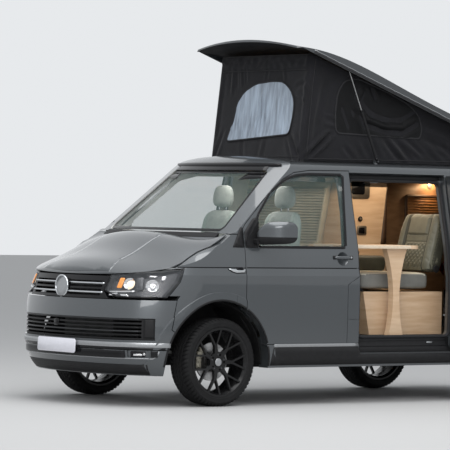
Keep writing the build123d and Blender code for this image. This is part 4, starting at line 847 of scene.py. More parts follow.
def make_front():
    """Bright bars, badge disc, trim strips, intake ends, fog lamps and a blank plate."""
    bright = Mass()
    for z, width in ((0.954, 0.013), (0.884, 0.014)):
        for start, end in ((-0.472, -0.086), (0.086, 0.472)):
            bow(bright, front_line("grille", start, end, z, 0.001, 14, 0.02), width, 0.006, DOME)
    badge = Vector((0, foremost("grille", 0.0, 0.916)[0].y - 0.001, 0.921))
    knob(bright, badge, (0, -1, 0.12), 0.083, 0.012, 1, 40, 0.5)
    ring = [badge + Vector((point.x, -0.008, point.y)) for point in hoop((0, 0, 0), 0.083, 40)]
    strip(bright, ring, (0, -1, 0.12), 0.013, 0.008, closed=True)
    bright.piece("front_brightwork", [CHROME, SATIN])

    trim = Mass()
    bow(trim, front_line("front_bumper", -0.918, 0.918, 0.484, 0.0005, 56, 0.016), 0.036, 0.005)
    lip = front_line("front_valance", -0.84, 0.84, 0.378, 0.0, 50, 0.004)
    for x, z in ((0.856, 0.392), (0.868, 0.414), (0.874, 0.436)):
        lip = [foremost("front_valance", -x, z)[0]] + lip + [foremost("front_valance", x, z)[0]]
    bow(trim, lip, 0.009, 0.004, DOME)
    trim.piece("bumper_trim_strips", SATIN)

    dark = Mass()
    for node, x, z, steps, window, width in (
            ("front_valance", 0.684, 0.414, 40, 0.012, 0.062),
            ("front_bumper", 0.90, 0.456, 50, 0.003, 0.016)):
        bow(dark, front_line(node, -x, x, z, 0.0, steps, window), width, 0.003)
    # Look 2, the lighter satin finish on the intake's top lip and middle slat, is painted highlight along
    # their lit upper edges; look 0 is the slats' own gloss black.
    for z, width, look in ((0.684, 0.012, 2), (0.620, 0.007, 0), (0.590, 0.009, 2), (0.560, 0.007, 0)):
        bow(dark, front_line("intake_grille", -0.775, 0.775, z, 0.0, 48, 0.005), width, 0.005, DOME, look)
    fog = Mass()
    for side, _ in SIDES:
        bow(dark, front_line("front_valance", side * 0.834, side * 0.868, 0.414, 0.0, 4), 0.050, 0.003)
        edge = front_line("intake_grille", side * 0.795, side * 0.845, 0.612, 0.004, 5, 0.03)
        bow(dark, edge, 0.142, 0.010, look=1)
        gasket = [(0.503, 1.008), (0.484, 0.905), (0.600, 0.856), (0.72, 0.853), (0.85, 0.853)]
        strip_on(dark, spaced([(side * x, z) for x, z in gasket], 0.02), seen("front", "headlamps"),
                 0.010, 0.0015)
        place, normal = foremost("front_valance", side * 0.752, 0.413)
        normal = normal if normal.y < 0 else -normal
        slab(fog, place, normal, 0.118, 0.046, 0.006, 0)
        place += normal * 0.006
        slab(fog, place - Vector((0, 0, 0.004)), normal, 0.070, 0.016, 0.005, 1)
        knob(fog, place + Vector((side * 0.042, 0.03, 0.002)), normal, 0.010, 0.004, 1)
    sensor = foremost("intake_grille", -0.03, 0.620)[0]
    slab(dark, sensor + Vector((0, 0.004, 0.015)), (0, -1, 0), 0.062, 0.056, 0.012, 0)
    chin = [(-0.78, 0.252), (0.78, 0.252), (0.80, 0.330), (-0.80, 0.330)]
    panel(dark, chin, seen("front", "front_valance"), 0.003, 1, 0.04)
    dark.piece("bumper_dark_trim", [GLOSS, MOULDING, SATIN_DARK_AND_SLAT_HIGHLIGHT])
    fog.piece("fog_lamps", [GLOSS, MIRRORED])

    crease = [(-0.468, -2.285), (-0.400, -2.150), (-0.378, -2.000), (-0.366, -1.800), (-0.354, -1.590)]
    nose = [(x, -2.352 + 0.32 * x * x) for x in (0.36, 0.24, 0.12, 0.0, -0.12, -0.24, -0.36)]
    outline = crease + [(-x, y) for x, y in reversed(crease)] + nose
    raised, plate = Mass(), Mass()
    panel(raised, outline, seen("top", "bonnet"), 0.0016, 0, 0.045, 0.001)
    raised.piece("bonnet_raised_middle", PAINT, "bonnet")
    slab(plate, (0, -2.4535, 0.457), (0, -1, 0.04), 0.52, 0.111, 0.007, 0)
    plate.piece("front_plate_blank", PLATE_BLANK)


# Window seals, handles, blades and other trim on the sides and round the glass

DOOR_WINDOW = [(-1.166, 1.262), (-1.140, 1.500), (-0.987, 1.684), (-0.876, 1.761), (-0.787, 1.805),
               (-0.703, 1.830), (-0.569, 1.842), (-0.218, 1.846), (-0.273, 1.262)]
QUARTER_WINDOW = [(1.080, 1.262), (1.080, 1.842), (2.070, 1.842), (2.130, 1.262)]
MIDDLE_WINDOW = [(-0.030, 1.262), (-0.030, 1.842), (0.800, 1.842), (0.800, 1.262)]
SLIDE_SHIFT = 1.016
BELT_Z = 1.092
HANDLE_Z = 1.178


def grown_outline(outline, by):
    """The same closed outline, moved outwards by a distance."""
    middle = sum((Vector(point) for point in outline), Vector((0, 0))) / len(outline)
    made = []
    for at, point in enumerate(outline):
        here = Vector(point)
        ahead = Vector(outline[(at + 1) % len(outline)]) - Vector(outline[at - 1])
        away = Vector((ahead.y, -ahead.x)).normalized()
        made.append(here + (away if away.dot(here - middle) >= 0 else -away) * by)
    return made


def window_seal(mass, outline, cast, radius=0.045, width=0.017):
    """A black seal round a side window, half on the panel and half over the glass."""
    line = spaced(rounded(grown_outline(outline, 0.005), radius), 0.02, True)
    strip_on(mass, line, cast, width, 0.0035, DOME, True)


def handle_bar(mass, cast, y, side):
    """A bar handle across its dish, with a bright lock at one end."""
    ends = [cast(place_y, HANDLE_Z)[0] for place_y in (y - 0.085, y + 0.085)]
    out = Vector((side, 0, 0.06)).normalized()
    rise = [sin(pi * step / 16) for step in range(17)]
    line = [ends[0].lerp(ends[1], step / 16) + out * (0.004 + 0.015 * max(0.0, rise[step]) ** 0.6)
            for step in range(17)]
    strip(mass, line, out, [0.018 + 0.008 * high for high in rise], 0.011, look=2)
    knob(mass, line[-2] + out * 0.006, out, 0.009, 0.006, 3)
    for place in ends:
        slab(mass, place - out * 0.004, out, 0.034, 0.030, 0.012, 1)


def mirror_way(side):
    """The direction that a door mirror's glass looks in."""
    return Vector((-0.626 * side, 0.78, 0))


def make_door_trim():
    """For each front door: window seal, handle with its lock, corner plate and mirror glass."""
    for side, word in SIDES:
        trim, glass = Mass(), Mass()
        door = seen(word, f"front_door_{word}")
        window_seal(trim, DOOR_WINDOW, seen(word, f"front_door_{word}", f"door_glass_{word}"), 0.03, 0.022)
        corner = [(-1.296, 1.250), (-1.172, 1.250), (-1.150, 1.494), (-1.196, 1.480), (-1.296, 1.374)]
        panel(trim, corner, door, 0.004, 1, 0.03)
        handle_bar(trim, door, -0.312, side)
        trim.piece(f"door_trim_{word}", [GLOSS, MOULDING, PAINT, CHROME], f"{word}_door")
        facing = mirror_way(side)
        centre = Vector((1.038 * side, -1.014, 1.372))
        floor, _ = surface_at([f"mirror_{word}"], centre + facing * 0.2, -facing)
        slab(glass, floor, facing, 0.146, 0.124, max(0.01, (centre - floor).length - 0.012), 0)
        glass.piece(f"mirror_glass_{word}", MIRRORED, f"{word}_door")


def make_side_trim():
    """Seals, blades and sill cladding that stay with the body and the sliding door."""
    fixed = Mass()
    for side, word in SIDES:
        shell, wing = f"body_side_{word}", f"wing_{word}"
        window_seal(fixed, QUARTER_WINDOW, seen(word, shell, "side_windows"))
        blade = [(-1.480, 1.083), (-1.440, 1.062), (-1.405, 1.053), (-1.316, 1.056), (-1.316, 1.080)]
        panel(fixed, blade, seen(word, wing), 0.005, 1, 0.02)
        fin = [(-1.500, 1.090), (-1.452, 1.058), (-1.405, 1.046), (-1.312, 1.049), (-1.312, 1.086)]
        panel(fixed, fin, seen(word, wing), 0.003, 0, 0.02)
        corner = [(-1.424, 1.252), (-1.312, 1.250), (-1.312, 1.436), (-1.350, 1.378)]
        panel(fixed, corner, seen(word, wing, shell), 0.004, 2, 0.03)
        rise = [(-0.120, 0.400), (-0.150, 0.462)] if side > 0 else [(0.958, 0.462)]
        skirt = [(-1.052, 0.318), (0.985, 0.318), (0.985, 0.400)] + rise + [(-1.022, 0.462)]
        panel(fixed, skirt, seen(word, shell), 0.004, 2, 0.05)
    window_seal(fixed, MIDDLE_WINDOW, seen("right", "body_side_right", "side_windows"))
    moved = [(y + SLIDE_SHIFT, z) for y, z in MIDDLE_WINDOW]
    window_seal(fixed, moved, seen("left", "sliding_door", "sliding_door_glass"))
    handle_bar(fixed, seen("left", "sliding_door"), -0.052 + SLIDE_SHIFT, 1)
    fixed.piece("side_trim", [GLOSS, CHROME, MOULDING, CHROME])


def make_screen_trim():
    """Black border on the windscreen and rear window, the roof's dark front lip, and dark patches of painted
    reflection in the windscreen's top corners.
    """
    edge, tail_edge, shades = Mass(), Mass(), Mass()
    for mass, cast, corners, width in (
            (edge, seen("front", "windscreen"),
             [(-0.752, 1.384), (0.752, 1.384), (0.620, 1.852), (-0.620, 1.852)], 0.030),
            (tail_edge, seen("tail", "tailgate_glass"),
             [(-0.630, 1.300), (0.630, 1.300), (0.592, 1.780), (-0.592, 1.780)], 0.026)):
        strip_on(mass, spaced(rounded(corners, 0.05), 0.02, True), cast, width, 0.0015, closed=True)
    tail_edge.piece("rear_window_border", GLOSS, "tailgate")
    flat = [(x, -0.918 + 0.30 * x * x) for x, _ in level(-0.69, 0.69, 40, 0)]
    lip, ways = laid(flat, seen("top", "roof_panel", "body_side_left", "body_side_right"))
    ways = [(Vector((0, -0.5, 1)) + normal).normalized() for normal in ways]
    widths = [0.020 + 0.028 * max(0.0, sin(pi * step / 40)) ** 0.4 for step in range(41)]
    strip(edge, lip, ways, widths, 0.016)
    skirt = [(x, -0.944 + 0.30 * x * x) for x, _ in level(-0.60, 0.60, 32, 0)]
    strip_on(edge, skirt, seen("top", "roof_panel", "windscreen"), 0.078, 0.004)
    edge.piece("screen_border_and_roof_lip", GLOSS)
    # The dark patches in the windscreen's top corners are painted reflection: they stand for dark foliage
    # mirrored in the glass.
    for side, _ in SIDES:
        outline = [(side * x, z) for x, z in ((0.420, 1.790), (0.640, 1.806), (0.620, 1.850), (0.458, 1.850))]
        panel(shades, outline, seen("front", "windscreen"), 0.0015, 0, 0.03, 0.001)
    shades.piece("screen_corner_painted_reflections", GLOSS)


# Wheels: tyres with tread laid round by Geometry Nodes, bolts and caps

SHOULDER_X = 0.084
TYRE_WALL = [(0.108, 0.2745), (0.1105, 0.280), (0.1128, 0.284), (0.1142, 0.288), (0.1132, 0.290),
             (0.1148, 0.297), (0.1150, 0.304), (0.1140, 0.311), (0.1146, 0.312), (0.1136, 0.318),
             (0.1100, 0.3215), (0.1060, 0.3250), (0.1020, 0.3285), (0.0960, 0.3325), (0.0840, 0.3375)]


def round_tree(name, look):
    """Node tree that lays the incoming mesh a number of times round the X axis of a centre."""
    tree = bpy.data.node_groups.new(name, "GeometryNodeTree")
    for label, way, kind in (("Geometry", "INPUT", "Geometry"), ("Count", "INPUT", "Int"),
                             ("Centre", "INPUT", "Vector"), ("Geometry", "OUTPUT", "Geometry")):
        tree.interface.new_socket(label, in_out=way, socket_type=f"NodeSocket{kind}")
    start = tree.nodes.new("NodeGroupInput").outputs
    points = put(tree, "GeometryNodePoints", {"Count": start["Count"], "Position": start["Centre"]})
    index = tree.nodes.new("GeometryNodeInputIndex").outputs["Index"]
    share = put(tree, "ShaderNodeMath", {0: index, 1: start["Count"]}, operation="DIVIDE")
    angle = put(tree, "ShaderNodeMath", {0: share.outputs["Value"]}, {1: 2 * pi}, operation="MULTIPLY")
    turn = put(tree, "ShaderNodeCombineXYZ", {"X": angle.outputs["Value"]})
    lay = put(tree, "GeometryNodeInstanceOnPoints",
              {"Points": points.outputs["Points"], "Instance": start["Geometry"],
               "Rotation": turn.outputs["Vector"]})
    real = put(tree, "GeometryNodeRealizeInstances", {"Geometry": lay.outputs["Instances"]})
    paint = put(tree, "GeometryNodeSetMaterial", {"Geometry": real.outputs["Geometry"]}, {"Material": look})
    put(tree, "NodeGroupOutput", {"Geometry": paint.outputs["Geometry"]})
    return tree


def lay_round(mass, small, tree, count, centre, name):
    """Runs the tree on a small mesh drawn about the axle, and adds the whole ring to a mass."""
    seed = small.piece(name, RUBBER, None)
    change = seed.modifiers.new("round", "NODES")
    change.node_group = tree
    sockets = {item.name: item.identifier for item in tree.interface.items_tree
               if item.item_type == "SOCKET" and item.in_out == "INPUT"}
    change[sockets["Count"]] = count
    change[sockets["Centre"]] = centre
    ring = bpy.data.meshes.new_from_object(seed.evaluated_get(bpy.context.evaluated_depsgraph_get()))
    bpy.data.objects.remove(seed)
    mass.add([vertex.co for vertex in ring.vertices], [tuple(face.vertices) for face in ring.polygons])
    bpy.data.meshes.remove(ring)


def crown(x):
    """Radius of the tread's top at a distance from the middle of the tyre."""
    past = abs(x) - SHOULDER_X
    if past < 0:
        return TYRE_R - 0.0022 * (x / SHOULDER_X) ** 2
    return TYRE_R - 0.0022 - 0.8 * past ** 1.5 * 6


def tread_block(mass, inner, outer, start, end, skew, steps=3):
    """One block of rubber between two distances from the middle and two angles round the tyre."""
    points = []
    for height, inset in ((-0.009, 0.0), (-0.0008, 0.0), (0.0, 0.0012)):
        for at in range(steps + 1):
            x = inner + (outer - inner) * at / steps
            pull = inset if at == 0 else -inset if at == steps else 0.0
            pull = pull * copysign(1.0, outer - inner)
            for angle, shift in ((start, inset), (end, -inset)):
                turn = angle + skew * (x - inner) + shift / TYRE_R
                reach = crown(x) + height
                points.append(Vector((x + pull, reach * sin(turn), reach * cos(turn))))
    faces, row = [], 2 * (steps + 1)
    for at in range(steps):
        low = 2 * row + 2 * at
        faces.append((low, low + 2, low + 3, low + 1))
    for ring in range(2):
        for at in range(steps):
            a, b = ring * row + 2 * at, (ring + 1) * row + 2 * at
            faces += [(a, a + 2, b + 2, b), (a + 1, b + 1, b + 3, a + 3)]
        a, b = ring * row, (ring + 1) * row
        faces.append((a, b, b + 1, a + 1))
        a, b = a + 2 * steps, b + 2 * steps
        faces.append((a, a + 1, b + 1, b))
    if outer < inner:
        faces = [tuple(reversed(face)) for face in faces]
    mass.add(points, faces)


def make_tyre(corner, tree):
    """Carcass with ribbed walls, turned about the axle, and a ring of tread blocks over it."""
    x0, y0 = WHEELS[corner]
    pitch, whole = Mass(), Mass()
    count, spokes = 62, 96
    step = 2 * pi / count
    for side, _ in SIDES:
        tread_block(pitch, side * 0.0205, side * 0.0500, 0.03 * step, 0.86 * step, side * 6.0)
        tread_block(pitch, side * 0.0580, side * 0.1085, 0.08 * step, 0.72 * step, side * 1.2, 7)
    tread_block(pitch, -0.0130, 0.0130, 0.0, 0.93 * step, 5.0)
    lay_round(whole, pitch, tree, count, (x0, y0, TYRE_R), "tread_" + corner)
    profile = TYRE_WALL + [(0.02, 0.3402), (-0.02, 0.3402)] + [(-x, r) for x, r in reversed(TYRE_WALL)]
    turns = [spoke / spokes * 2 * pi for spoke in range(spokes)]
    points = [(x0 + x, y0 + reach * sin(turn), TYRE_R + reach * cos(turn))
              for x, reach in profile for turn in turns]
    whole.add(points, bands(len(profile), spokes, turned=True))
    tyre = whole.piece("tyre_with_tread_" + corner, RUBBER, "wheel_" + corner)
    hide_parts("tyre_" + corner)


def make_wheels():
    """A treaded tyre, five bolts and a centre cap for each wheel."""
    tread, bolts = round_tree("lay_round_the_axle", RUBBER), round_tree("lay_bolts", SATIN_DARK_AND_SLAT_HIGHLIGHT)
    for corner, (x0, y0) in WHEELS.items():
        make_tyre(corner, tread)
        side = copysign(1.0, x0)
        out, one, fittings = (side, 0, 0), Mass(), Mass()
        knob(one, (side * 0.0595, 0, 0.060), out, 0.0125, 0.004, 0, 16, 0.4)
        knob(one, (side * 0.0625, 0, 0.060), out, 0.0088, 0.015, 0, 6, 0.25)
        lay_round(fittings, one, bolts, 5, (x0, y0, TYRE_R), "bolt_" + corner)
        knob(fittings, (x0 + side * 0.0775, y0, TYRE_R), out, 0.031, 0.0045, 1, 36, 0.4)
        knob(fittings, (x0 + side * 0.0765, y0, TYRE_R), out, 0.0335, 0.003, 2, 36)
        fittings.piece("wheel_bolts_and_cap_" + corner, [SATIN_DARK_AND_SLAT_HIGHLIGHT, SATIN, GLOSS], "wheel_" + corner)


# Inside: padded seats filled out by a cloth simulation, unit fittings, blinds and table edge

BENCH_MIDDLE = (0.155, 0.512)


PAD_PRESSURE, PAD_FRAMES = 4.0, 20


def loft_pad(mass, sections, around=40, square=4.5, look=0):
    """Closed soft form through level sections, each a middle, a half width and a half depth."""
    points = []
    for (x, y, z), half_x, half_y in sections:
        for at in range(around):
            c, d = cos(at / around * 2 * pi), sin(at / around * 2 * pi)
            points.append((x + half_x * copysign(abs(c) ** (2 / square), c),
                           y + half_y * copysign(abs(d) ** (2 / square), d), z))
    mass.add(points, bands(len(sections), around, capped=True), look)


def swell(piece, voxel, cap):
    """Fills a closed form out as cloth under pressure, each point kept within a cap of its start."""
    even = piece.modifiers.new("even", "REMESH")
    even.mode = "VOXEL"
    even.voxel_size = voxel
    apply_modifiers(piece)
    mesh = piece.data
    start = [vertex.co.copy() for vertex in mesh.vertices]
    cloth = piece.modifiers.new("swell", "CLOTH")
    cloth.settings.use_pressure = True
    cloth.settings.uniform_pressure_force = PAD_PRESSURE
    cloth.settings.effector_weights.gravity = 0
    scene = bpy.context.scene
    for frame_number in range(1, PAD_FRAMES + 1):
        scene.frame_set(frame_number)
    ready = piece.evaluated_get(bpy.context.evaluated_depsgraph_get())
    ends = [vertex.co.copy() for vertex in ready.data.vertices]
    piece.modifiers.remove(cloth)
    scene.frame_set(1)
    for vertex, old, new in zip(mesh.vertices, start, ends):
        move = new - old
        vertex.co = old + move * min(1.0, cap / max(move.length, 1e-9))
    for face in mesh.polygons:
        face.use_smooth = True


def declare_pad(node=None):
    """Hides the CAD node that a padded piece stands for, if one is named."""
    if node:
        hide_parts(node)


def groove(distance, depth=0.005, width=0.006):
    return -depth * bell(distance / width)


def quilt_height(u, v):
    """Padding over the bench back's front: quilted middle, head panel, bolsters and their seams."""
    height = groove(abs(u) - 0.135)
    if abs(u) < 0.125 and 0.03 < v < 0.255:
        a, b = (u / 0.046 + v / 0.046) * pi, (u / 0.046 - v / 0.046) * pi
        height += 0.0105 * (abs(sin(a)) * abs(sin(b))) ** 0.42 - 0.006
    if abs(u) > 0.140:
        height += 0.022 * min(1.0, (abs(u) - 0.140) / 0.03)
    if abs(u) < 0.14:
        height += groove(v - 0.265) + groove(v - 0.020)
    if v > 0.335 and abs(u) < 0.115:
        height += 0.014
    if abs(u) < 0.125:
        height += groove(v - 0.330, 0.008)
    return height


def make_bench_cushion():
    """The bench's cushion with a cream top, its seam, its piping and the rail under its edge."""
    x0, y0 = BENCH_MIDDLE
    pad, rail, piping = Mass(), Mass(), Mass()
    levels = ((0.924, 0.468, 0.372), (0.934, 0.476, 0.380), (0.985, 0.479, 0.383), (1.026, 0.477, 0.381),
              (1.041, 0.470, 0.374), (1.046, 0.455, 0.360))
    loft_pad(pad, [((x0, y0, z), a, b) for z, a, b in levels], 64, 14.0)
    cushion = pad.piece("bench_cushion_pad", [SIDE_GREY, CREAM])
    swell(cushion, 0.013, 0.010)
    for vertex in cushion.data.vertices:
        x, y, z = vertex.co
        crease = 0.0016 * noise.noise(Vector((x * 9, y * 9, z * 5)))
        vertex.co.z += (groove(x - 0.125, 0.006, 0.007) if z > 1.03 else 0.0) + (crease if z > 0.93 else 0.0)
    for face in cushion.data.polygons:
        face.material_index = int(face.normal.z > 0.55)
    declare_pad("bench_cushion")
    slab(rail, (x0, 0.151, 0.910), (0, -1, 0), 0.955, 0.026, 0.012, 0)
    rail.piece("bench_rail", MOULDING)
    line = [Vector((x, y0 - 0.379, 1.038)) for x, _ in level(x0 - 0.474, x0 + 0.474, 24, 0)]
    strip(piping, line, (0, -0.7, 0.7), 0.007, 0.004, TUBE)
    piping.piece("bench_piping", CREAM)


def make_bench_back():
    """The quilted seat back that stands up, the second one folded flat, and their hinge covers."""
    back, fold, covers = Mass(), Mass(), Mass()
    x0, foot_z = 0.425, 1.054
    sections = []
    for z in (1.062, 1.072, 1.12, 1.20, 1.30, 1.40, 1.47, 1.515, 1.538, 1.546):
        front_y = 0.828 + (z - foot_z) * 0.2915
        rear_y = 0.978 + (z - foot_z) * 0.2263
        half = 0.247 - 0.05 * max(0.0, (z - 1.40) / 0.15) ** 2
        pinch = 0.022 if z in (1.062, 1.546) else 0.006 if z in (1.072, 1.538) else 0.0
        sections.append(((x0, (front_y + rear_y) / 2, z), half - pinch, (rear_y - front_y) / 2 - pinch))
    loft_pad(back, sections, 48, 6.0)
    upright = back.piece("bench_back_pad", [LEATHER, OLIVE_DARK])
    swell(upright, 0.0065, 0.009)
    mesh = upright.data
    up, out, base = Vector((0, 0.280, 0.960)), Vector((0, -0.960, 0.280)), Vector((x0, 0.820, foot_z))
    moves = []
    for vertex in mesh.vertices:
        local = vertex.co - base
        share = clamp((vertex.normal.dot(out) - 0.35) / 0.4)
        moves.append(out * quilt_height(local.x, local.dot(up)) * share)
    for vertex, move in zip(mesh.vertices, moves):
        vertex.co += move
    for face in mesh.polygons:
        seam = abs(abs(face.center.x - base.x) - 0.142) < 0.012
        face.material_index = int(face.normal.dot(out) < 0.2 or seam)
    loft_pad(fold, [((-0.080, 0.630, z), a, b) for z, a, b in
                    ((1.056, 0.170, 0.232), (1.064, 0.179, 0.240), (1.110, 0.184, 0.245),
                     (1.160, 0.180, 0.241), (1.174, 0.166, 0.228))], 48, 9.0)
    folded = fold.piece("bench_folded_pad", OLIVE_DARK)
    swell(folded, 0.012, 0.008)
    declare_pad("bench_back")
    declare_pad()
    for x, way in ((0.172, -1), (0.676, 1)):
        knob(covers, (x, 0.905, 1.085), (way, 0, 0), 0.032, 0.010, 0)
    covers.piece("bench_hinge_covers", MOULDING)


def sew_cab_seat(mesh, x0):
    """Seams and bolsters of a cab seat, and the paler finish of its sides."""
    for vertex in mesh.vertices:
        across = abs(vertex.co.x - x0)
        if vertex.normal.y < -0.3 and 0.95 < vertex.co.z < 1.52:
            vertex.co.y += 0.006 * bell((across - 0.135) / 0.007)
            vertex.co.y -= 0.018 * clamp((across - 0.14) / 0.05)
            vertex.co.y += 0.005 * bell((vertex.co.z - 1.33) / 0.007) * (across < 0.14)
        if vertex.normal.z > 0.3 and vertex.co.z < 0.95:
            vertex.co.z -= 0.006 * bell((across - 0.140) / 0.007)
            vertex.co.z += 0.012 * clamp((across - 0.15) / 0.05)
    for face in mesh.polygons:
        face.material_index = int(abs(face.center.x - x0) > 0.14 and face.center.z < 1.56)


def make_cab_seats():
    """Two cab seats with padded back, cushion and head restraint over a dark pedestal."""
    x, y = 0.415, -0.80
    pads = Mass()
    back = ((0.905, 0.196, 0.050), (0.925, 0.216, 0.062), (1.02, 0.226, 0.070), (1.16, 0.226, 0.068),
            (1.30, 0.225, 0.060), (1.40, 0.221, 0.054), (1.47, 0.208, 0.049), (1.515, 0.184, 0.044),
            (1.538, 0.156, 0.036), (1.546, 0.12, 0.026))
    loft_pad(pads, [((x, y + 0.208 + (z - 0.9) * 0.125, z), a, b) for z, a, b in back], 44, 3.4)
    seat = ((0.806, 0.212, 0.190), (0.816, 0.232, 0.208), (0.86, 0.240, 0.218), (0.900, 0.236, 0.214),
            (0.918, 0.222, 0.200), (0.922, 0.200, 0.180))
    loft_pad(pads, [((x, y - 0.012, z), a, b) for z, a, b in seat], 48, 5.0)
    head = ((1.572, 0.082, 0.028), (1.585, 0.104, 0.038), (1.62, 0.118, 0.044), (1.68, 0.114, 0.043),
            (1.72, 0.098, 0.038), (1.742, 0.070, 0.028), (1.748, 0.045, 0.018))
    loft_pad(pads, [((x, y + 0.287 + (z - 1.6) * 0.05, z), a, b) for z, a, b in head], 40, 3.0)
    left = pads.piece("cab_seat_pads_left", [SEAT_CLOTH, SEAT_PALE])
    swell(left, 0.011, 0.008)
    sew_cab_seat(left.data, x)
    right = placed("cab_seat_pads_right", left.data.copy(), "body")
    for vertex in right.data.vertices:
        vertex.co.x -= 2 * x
    foot = ((0.541, 0.178, 0.188), (0.60, 0.172, 0.182), (0.74, 0.150, 0.160), (0.79, 0.170, 0.180),
            (0.806, 0.205, 0.190))
    for side, pad, word in ((1, left, "left"), (-1, right, "right")):
        declare_pad(f"cab_seat_{word}")
        stand = Mass()
        loft_pad(stand, [((side * x, y, z), a, b) for z, a, b in foot], 32, 8.0)
        for post in (-0.045, 0.045):
            line = [Vector((side * x + post, y + 0.286 + step * 0.001, 1.53 + step * 0.02))
                    for step in range(4)]
            strip(stand, line, (0, -1, 0), 0.011, 0.011, TUBE, look=1)
        for end in (-0.236, 0.236):
            knob(stand, (side * x + end, y + 0.205, 0.870), (copysign(1.0, end), 0, 0), 0.034, 0.010, 0)
        stand.piece(f"cab_seat_stand_{word}", [DASH, CHROME])


def wall_x(y, z):
    """Where the inner face of the right side stands, on its panel or its window."""
    place, _ = surface_at(["body_side_right", "side_windows"], (-0.2, y, min(z, 1.80)), (-1, 0, 0))
    return place.x


def blind(mass, ys, zs, place, look_frame):
    """A slatted window blind in its frame, against the wall that place gives points of."""
    (y0, y1), (z0, z1), rim = ys, zs, 0.012
    rows = int((z1 - z0) / 0.0235)
    for _, z in level(y0, y1, rows, z0, z1):
        ends = [place(y, z) for y in (y0, (y0 + y1) / 2, y1)]
        strip(mass, ends, (copysign(0.8, -ends[0].x), 0, 0.6), 0.024, 0.0045, FLAT, look=1)
    corners = [(y0 - rim, z0 - rim), (y1 + rim, z0 - rim), (y1 + rim, z1 + rim), (y0 - rim, z1 + rim)]
    line = [place(*point) for point in spaced(rounded(corners, 0.02), 0.05, True)]
    strip(mass, line, (copysign(1, -line[0].x), 0, 0.2), 0.030, 0.012, closed=True, look=look_frame)


def make_wall_linings():
    """Wooden lining, blinds and lamps beside the load space, and the kitchen window's blind."""
    wall, pane = Mass(), Mass()
    flat = abs(wall_x(2.10, 1.80)) - 0.014
    for side, start in ((-1, 1.296), (1, 1.060)):
        facing = (-side, 0, 0)
        middle, width = (start + 2.180) / 2, 2.180 - start
        slab(wall, (side * flat, middle, 1.430), facing, width, 0.76, 0.005, 0)
        slab(wall, (side * (flat + 0.012), middle, 0.800), facing, width, 0.50, 0.005, 0)
        blind(wall, (1.718, 2.118), (1.375, 1.685), lambda y, z: Vector((side * (flat - 0.008), y, z)), 2)
        knob(wall, (side * (flat - 0.004), 1.98, 1.790), facing, 0.026, 0.006, 3, 28)
        slab(wall, (side * (flat - 0.035), 2.232, 1.21), (-side * 0.80, -0.60, 0), 0.135, 0.70, 0.005, 2)
    wall.piece("rear_wall_lining", [WALNUT, SLAT_WARM, WALNUT_DARK, SATIN])
    into_room = Vector((0.97, 0, 0.24)).normalized()
    panel(pane, [(-0.055, 1.246), (0.877, 1.246), (0.877, 1.800), (-0.055, 1.800)],
          lambda y, z: (Vector((wall_x(y, z) + 0.004, y, z)), into_room), 0.003, 0, 0.08, 0.001)
    blind(pane, (0.02, 0.805), (1.290, 1.740), lambda y, z: Vector((wall_x(y, z) + 0.010, y, z)), 0)
    pane.piece("kitchen_window_blind", [CREAM, SLAT_SILVER])


def make_kitchen_fittings():
    """On the unit: screen, corner board, knobs, switch and catches; on its top: hob, sink rim and tap."""
    unit, top = Mass(), Mass()
    face, x = Vector((1, 0, 0)), -0.430
    for proud, y, z, width, height, thick, look in (
            (0.000, 0.985, 1.745, 0.205, 0.165, 0.010, 1), (0.009, 0.955, 1.762, 0.146, 0.126, 0.004, 0),
            (0.000, 1.010, 1.390, 0.104, 0.080, 0.007, 1), (0.007, 1.004, 1.390, 0.066, 0.050, 0.003, 0)):
        slab(unit, (x + proud, y, z), face, width, height, thick, look)
    wedge = [(1.289, 1.798), (1.289, 1.245), (1.222, 1.245)]
    panel(unit, wedge, lambda y, z: (Vector((x, y, z)), face), 0.003, 3, 0.1, 0.0)
    for proud, y, z, radius, height, look, spokes in (
            (0.000, 0.990, 1.488, 0.023, 0.009, 0, 24), (0.009, 0.990, 1.488, 0.012, 0.004, 1, 20),
            (0.000, 0.144, 1.070, 0.013, 0.006, 2, 20), (0.000, 0.458, 1.070, 0.013, 0.006, 2, 20),
            (0.000, 0.975, 1.200, 0.013, 0.006, 2, 20)):
        knob(unit, (x + proud, y, z), face, radius, height, look, spokes)
    unit.piece("unit_fittings", [GLOSS, BRONZE, SATIN, WALNUT_DARK])
    hob_x = -0.640
    slab(top, (hob_x, 0.560, 1.2405), (0, 0.0001, 1), 0.30, 0.40, 0.006, 1)
    for y, z, radius, count, width, height in ((0.47, 1.2475, 0.062, 28, 0.006, 0.003),
                                               (0.65, 1.2475, 0.062, 28, 0.006, 0.003),
                                               (0.110, 1.2405, 0.149, 48, 0.012, 0.0025)):
        strip(top, hoop((hob_x, y, z), radius, count), UP, width, height, closed=True, look=2)
    foot = Vector((-0.780, 0.110, 1.240))
    neck = [foot, foot + UP * 0.06]
    neck += [foot + Vector((0.05 * (1 - cos(t * pi / 8)), 0, 0.06 + 0.05 * sin(t * pi / 8)))
             for t in range(1, 9)]
    neck.append(foot + Vector((0.100, 0, 0.045)))
    strip(top, neck, (0, 1, 0), 0.018, 0.018, TUBE, look=2)
    knob(top, foot, UP, 0.024, 0.008, 2)
    top.piece("worktop_fittings", [GLOSS, GLOSS, SATIN])


def make_table_edge():
    """The pale edge band round the table top."""
    edge = Mass()
    outline = rounded([(0.285, -0.200), (0.785, -0.200), (0.785, 0.660), (0.285, 0.660)], 0.155, 10)
    line = [Vector((*point, 1.266)) for point in spaced(outline, 0.04, True)]
    ways = [(point - Vector((0.535, 0.230, 1.266))).normalized() for point in line]
    strip(edge, line, ways, 0.0275, 0.0016, FLAT, True)
    edge.piece("table_edge", PALE_PLY)


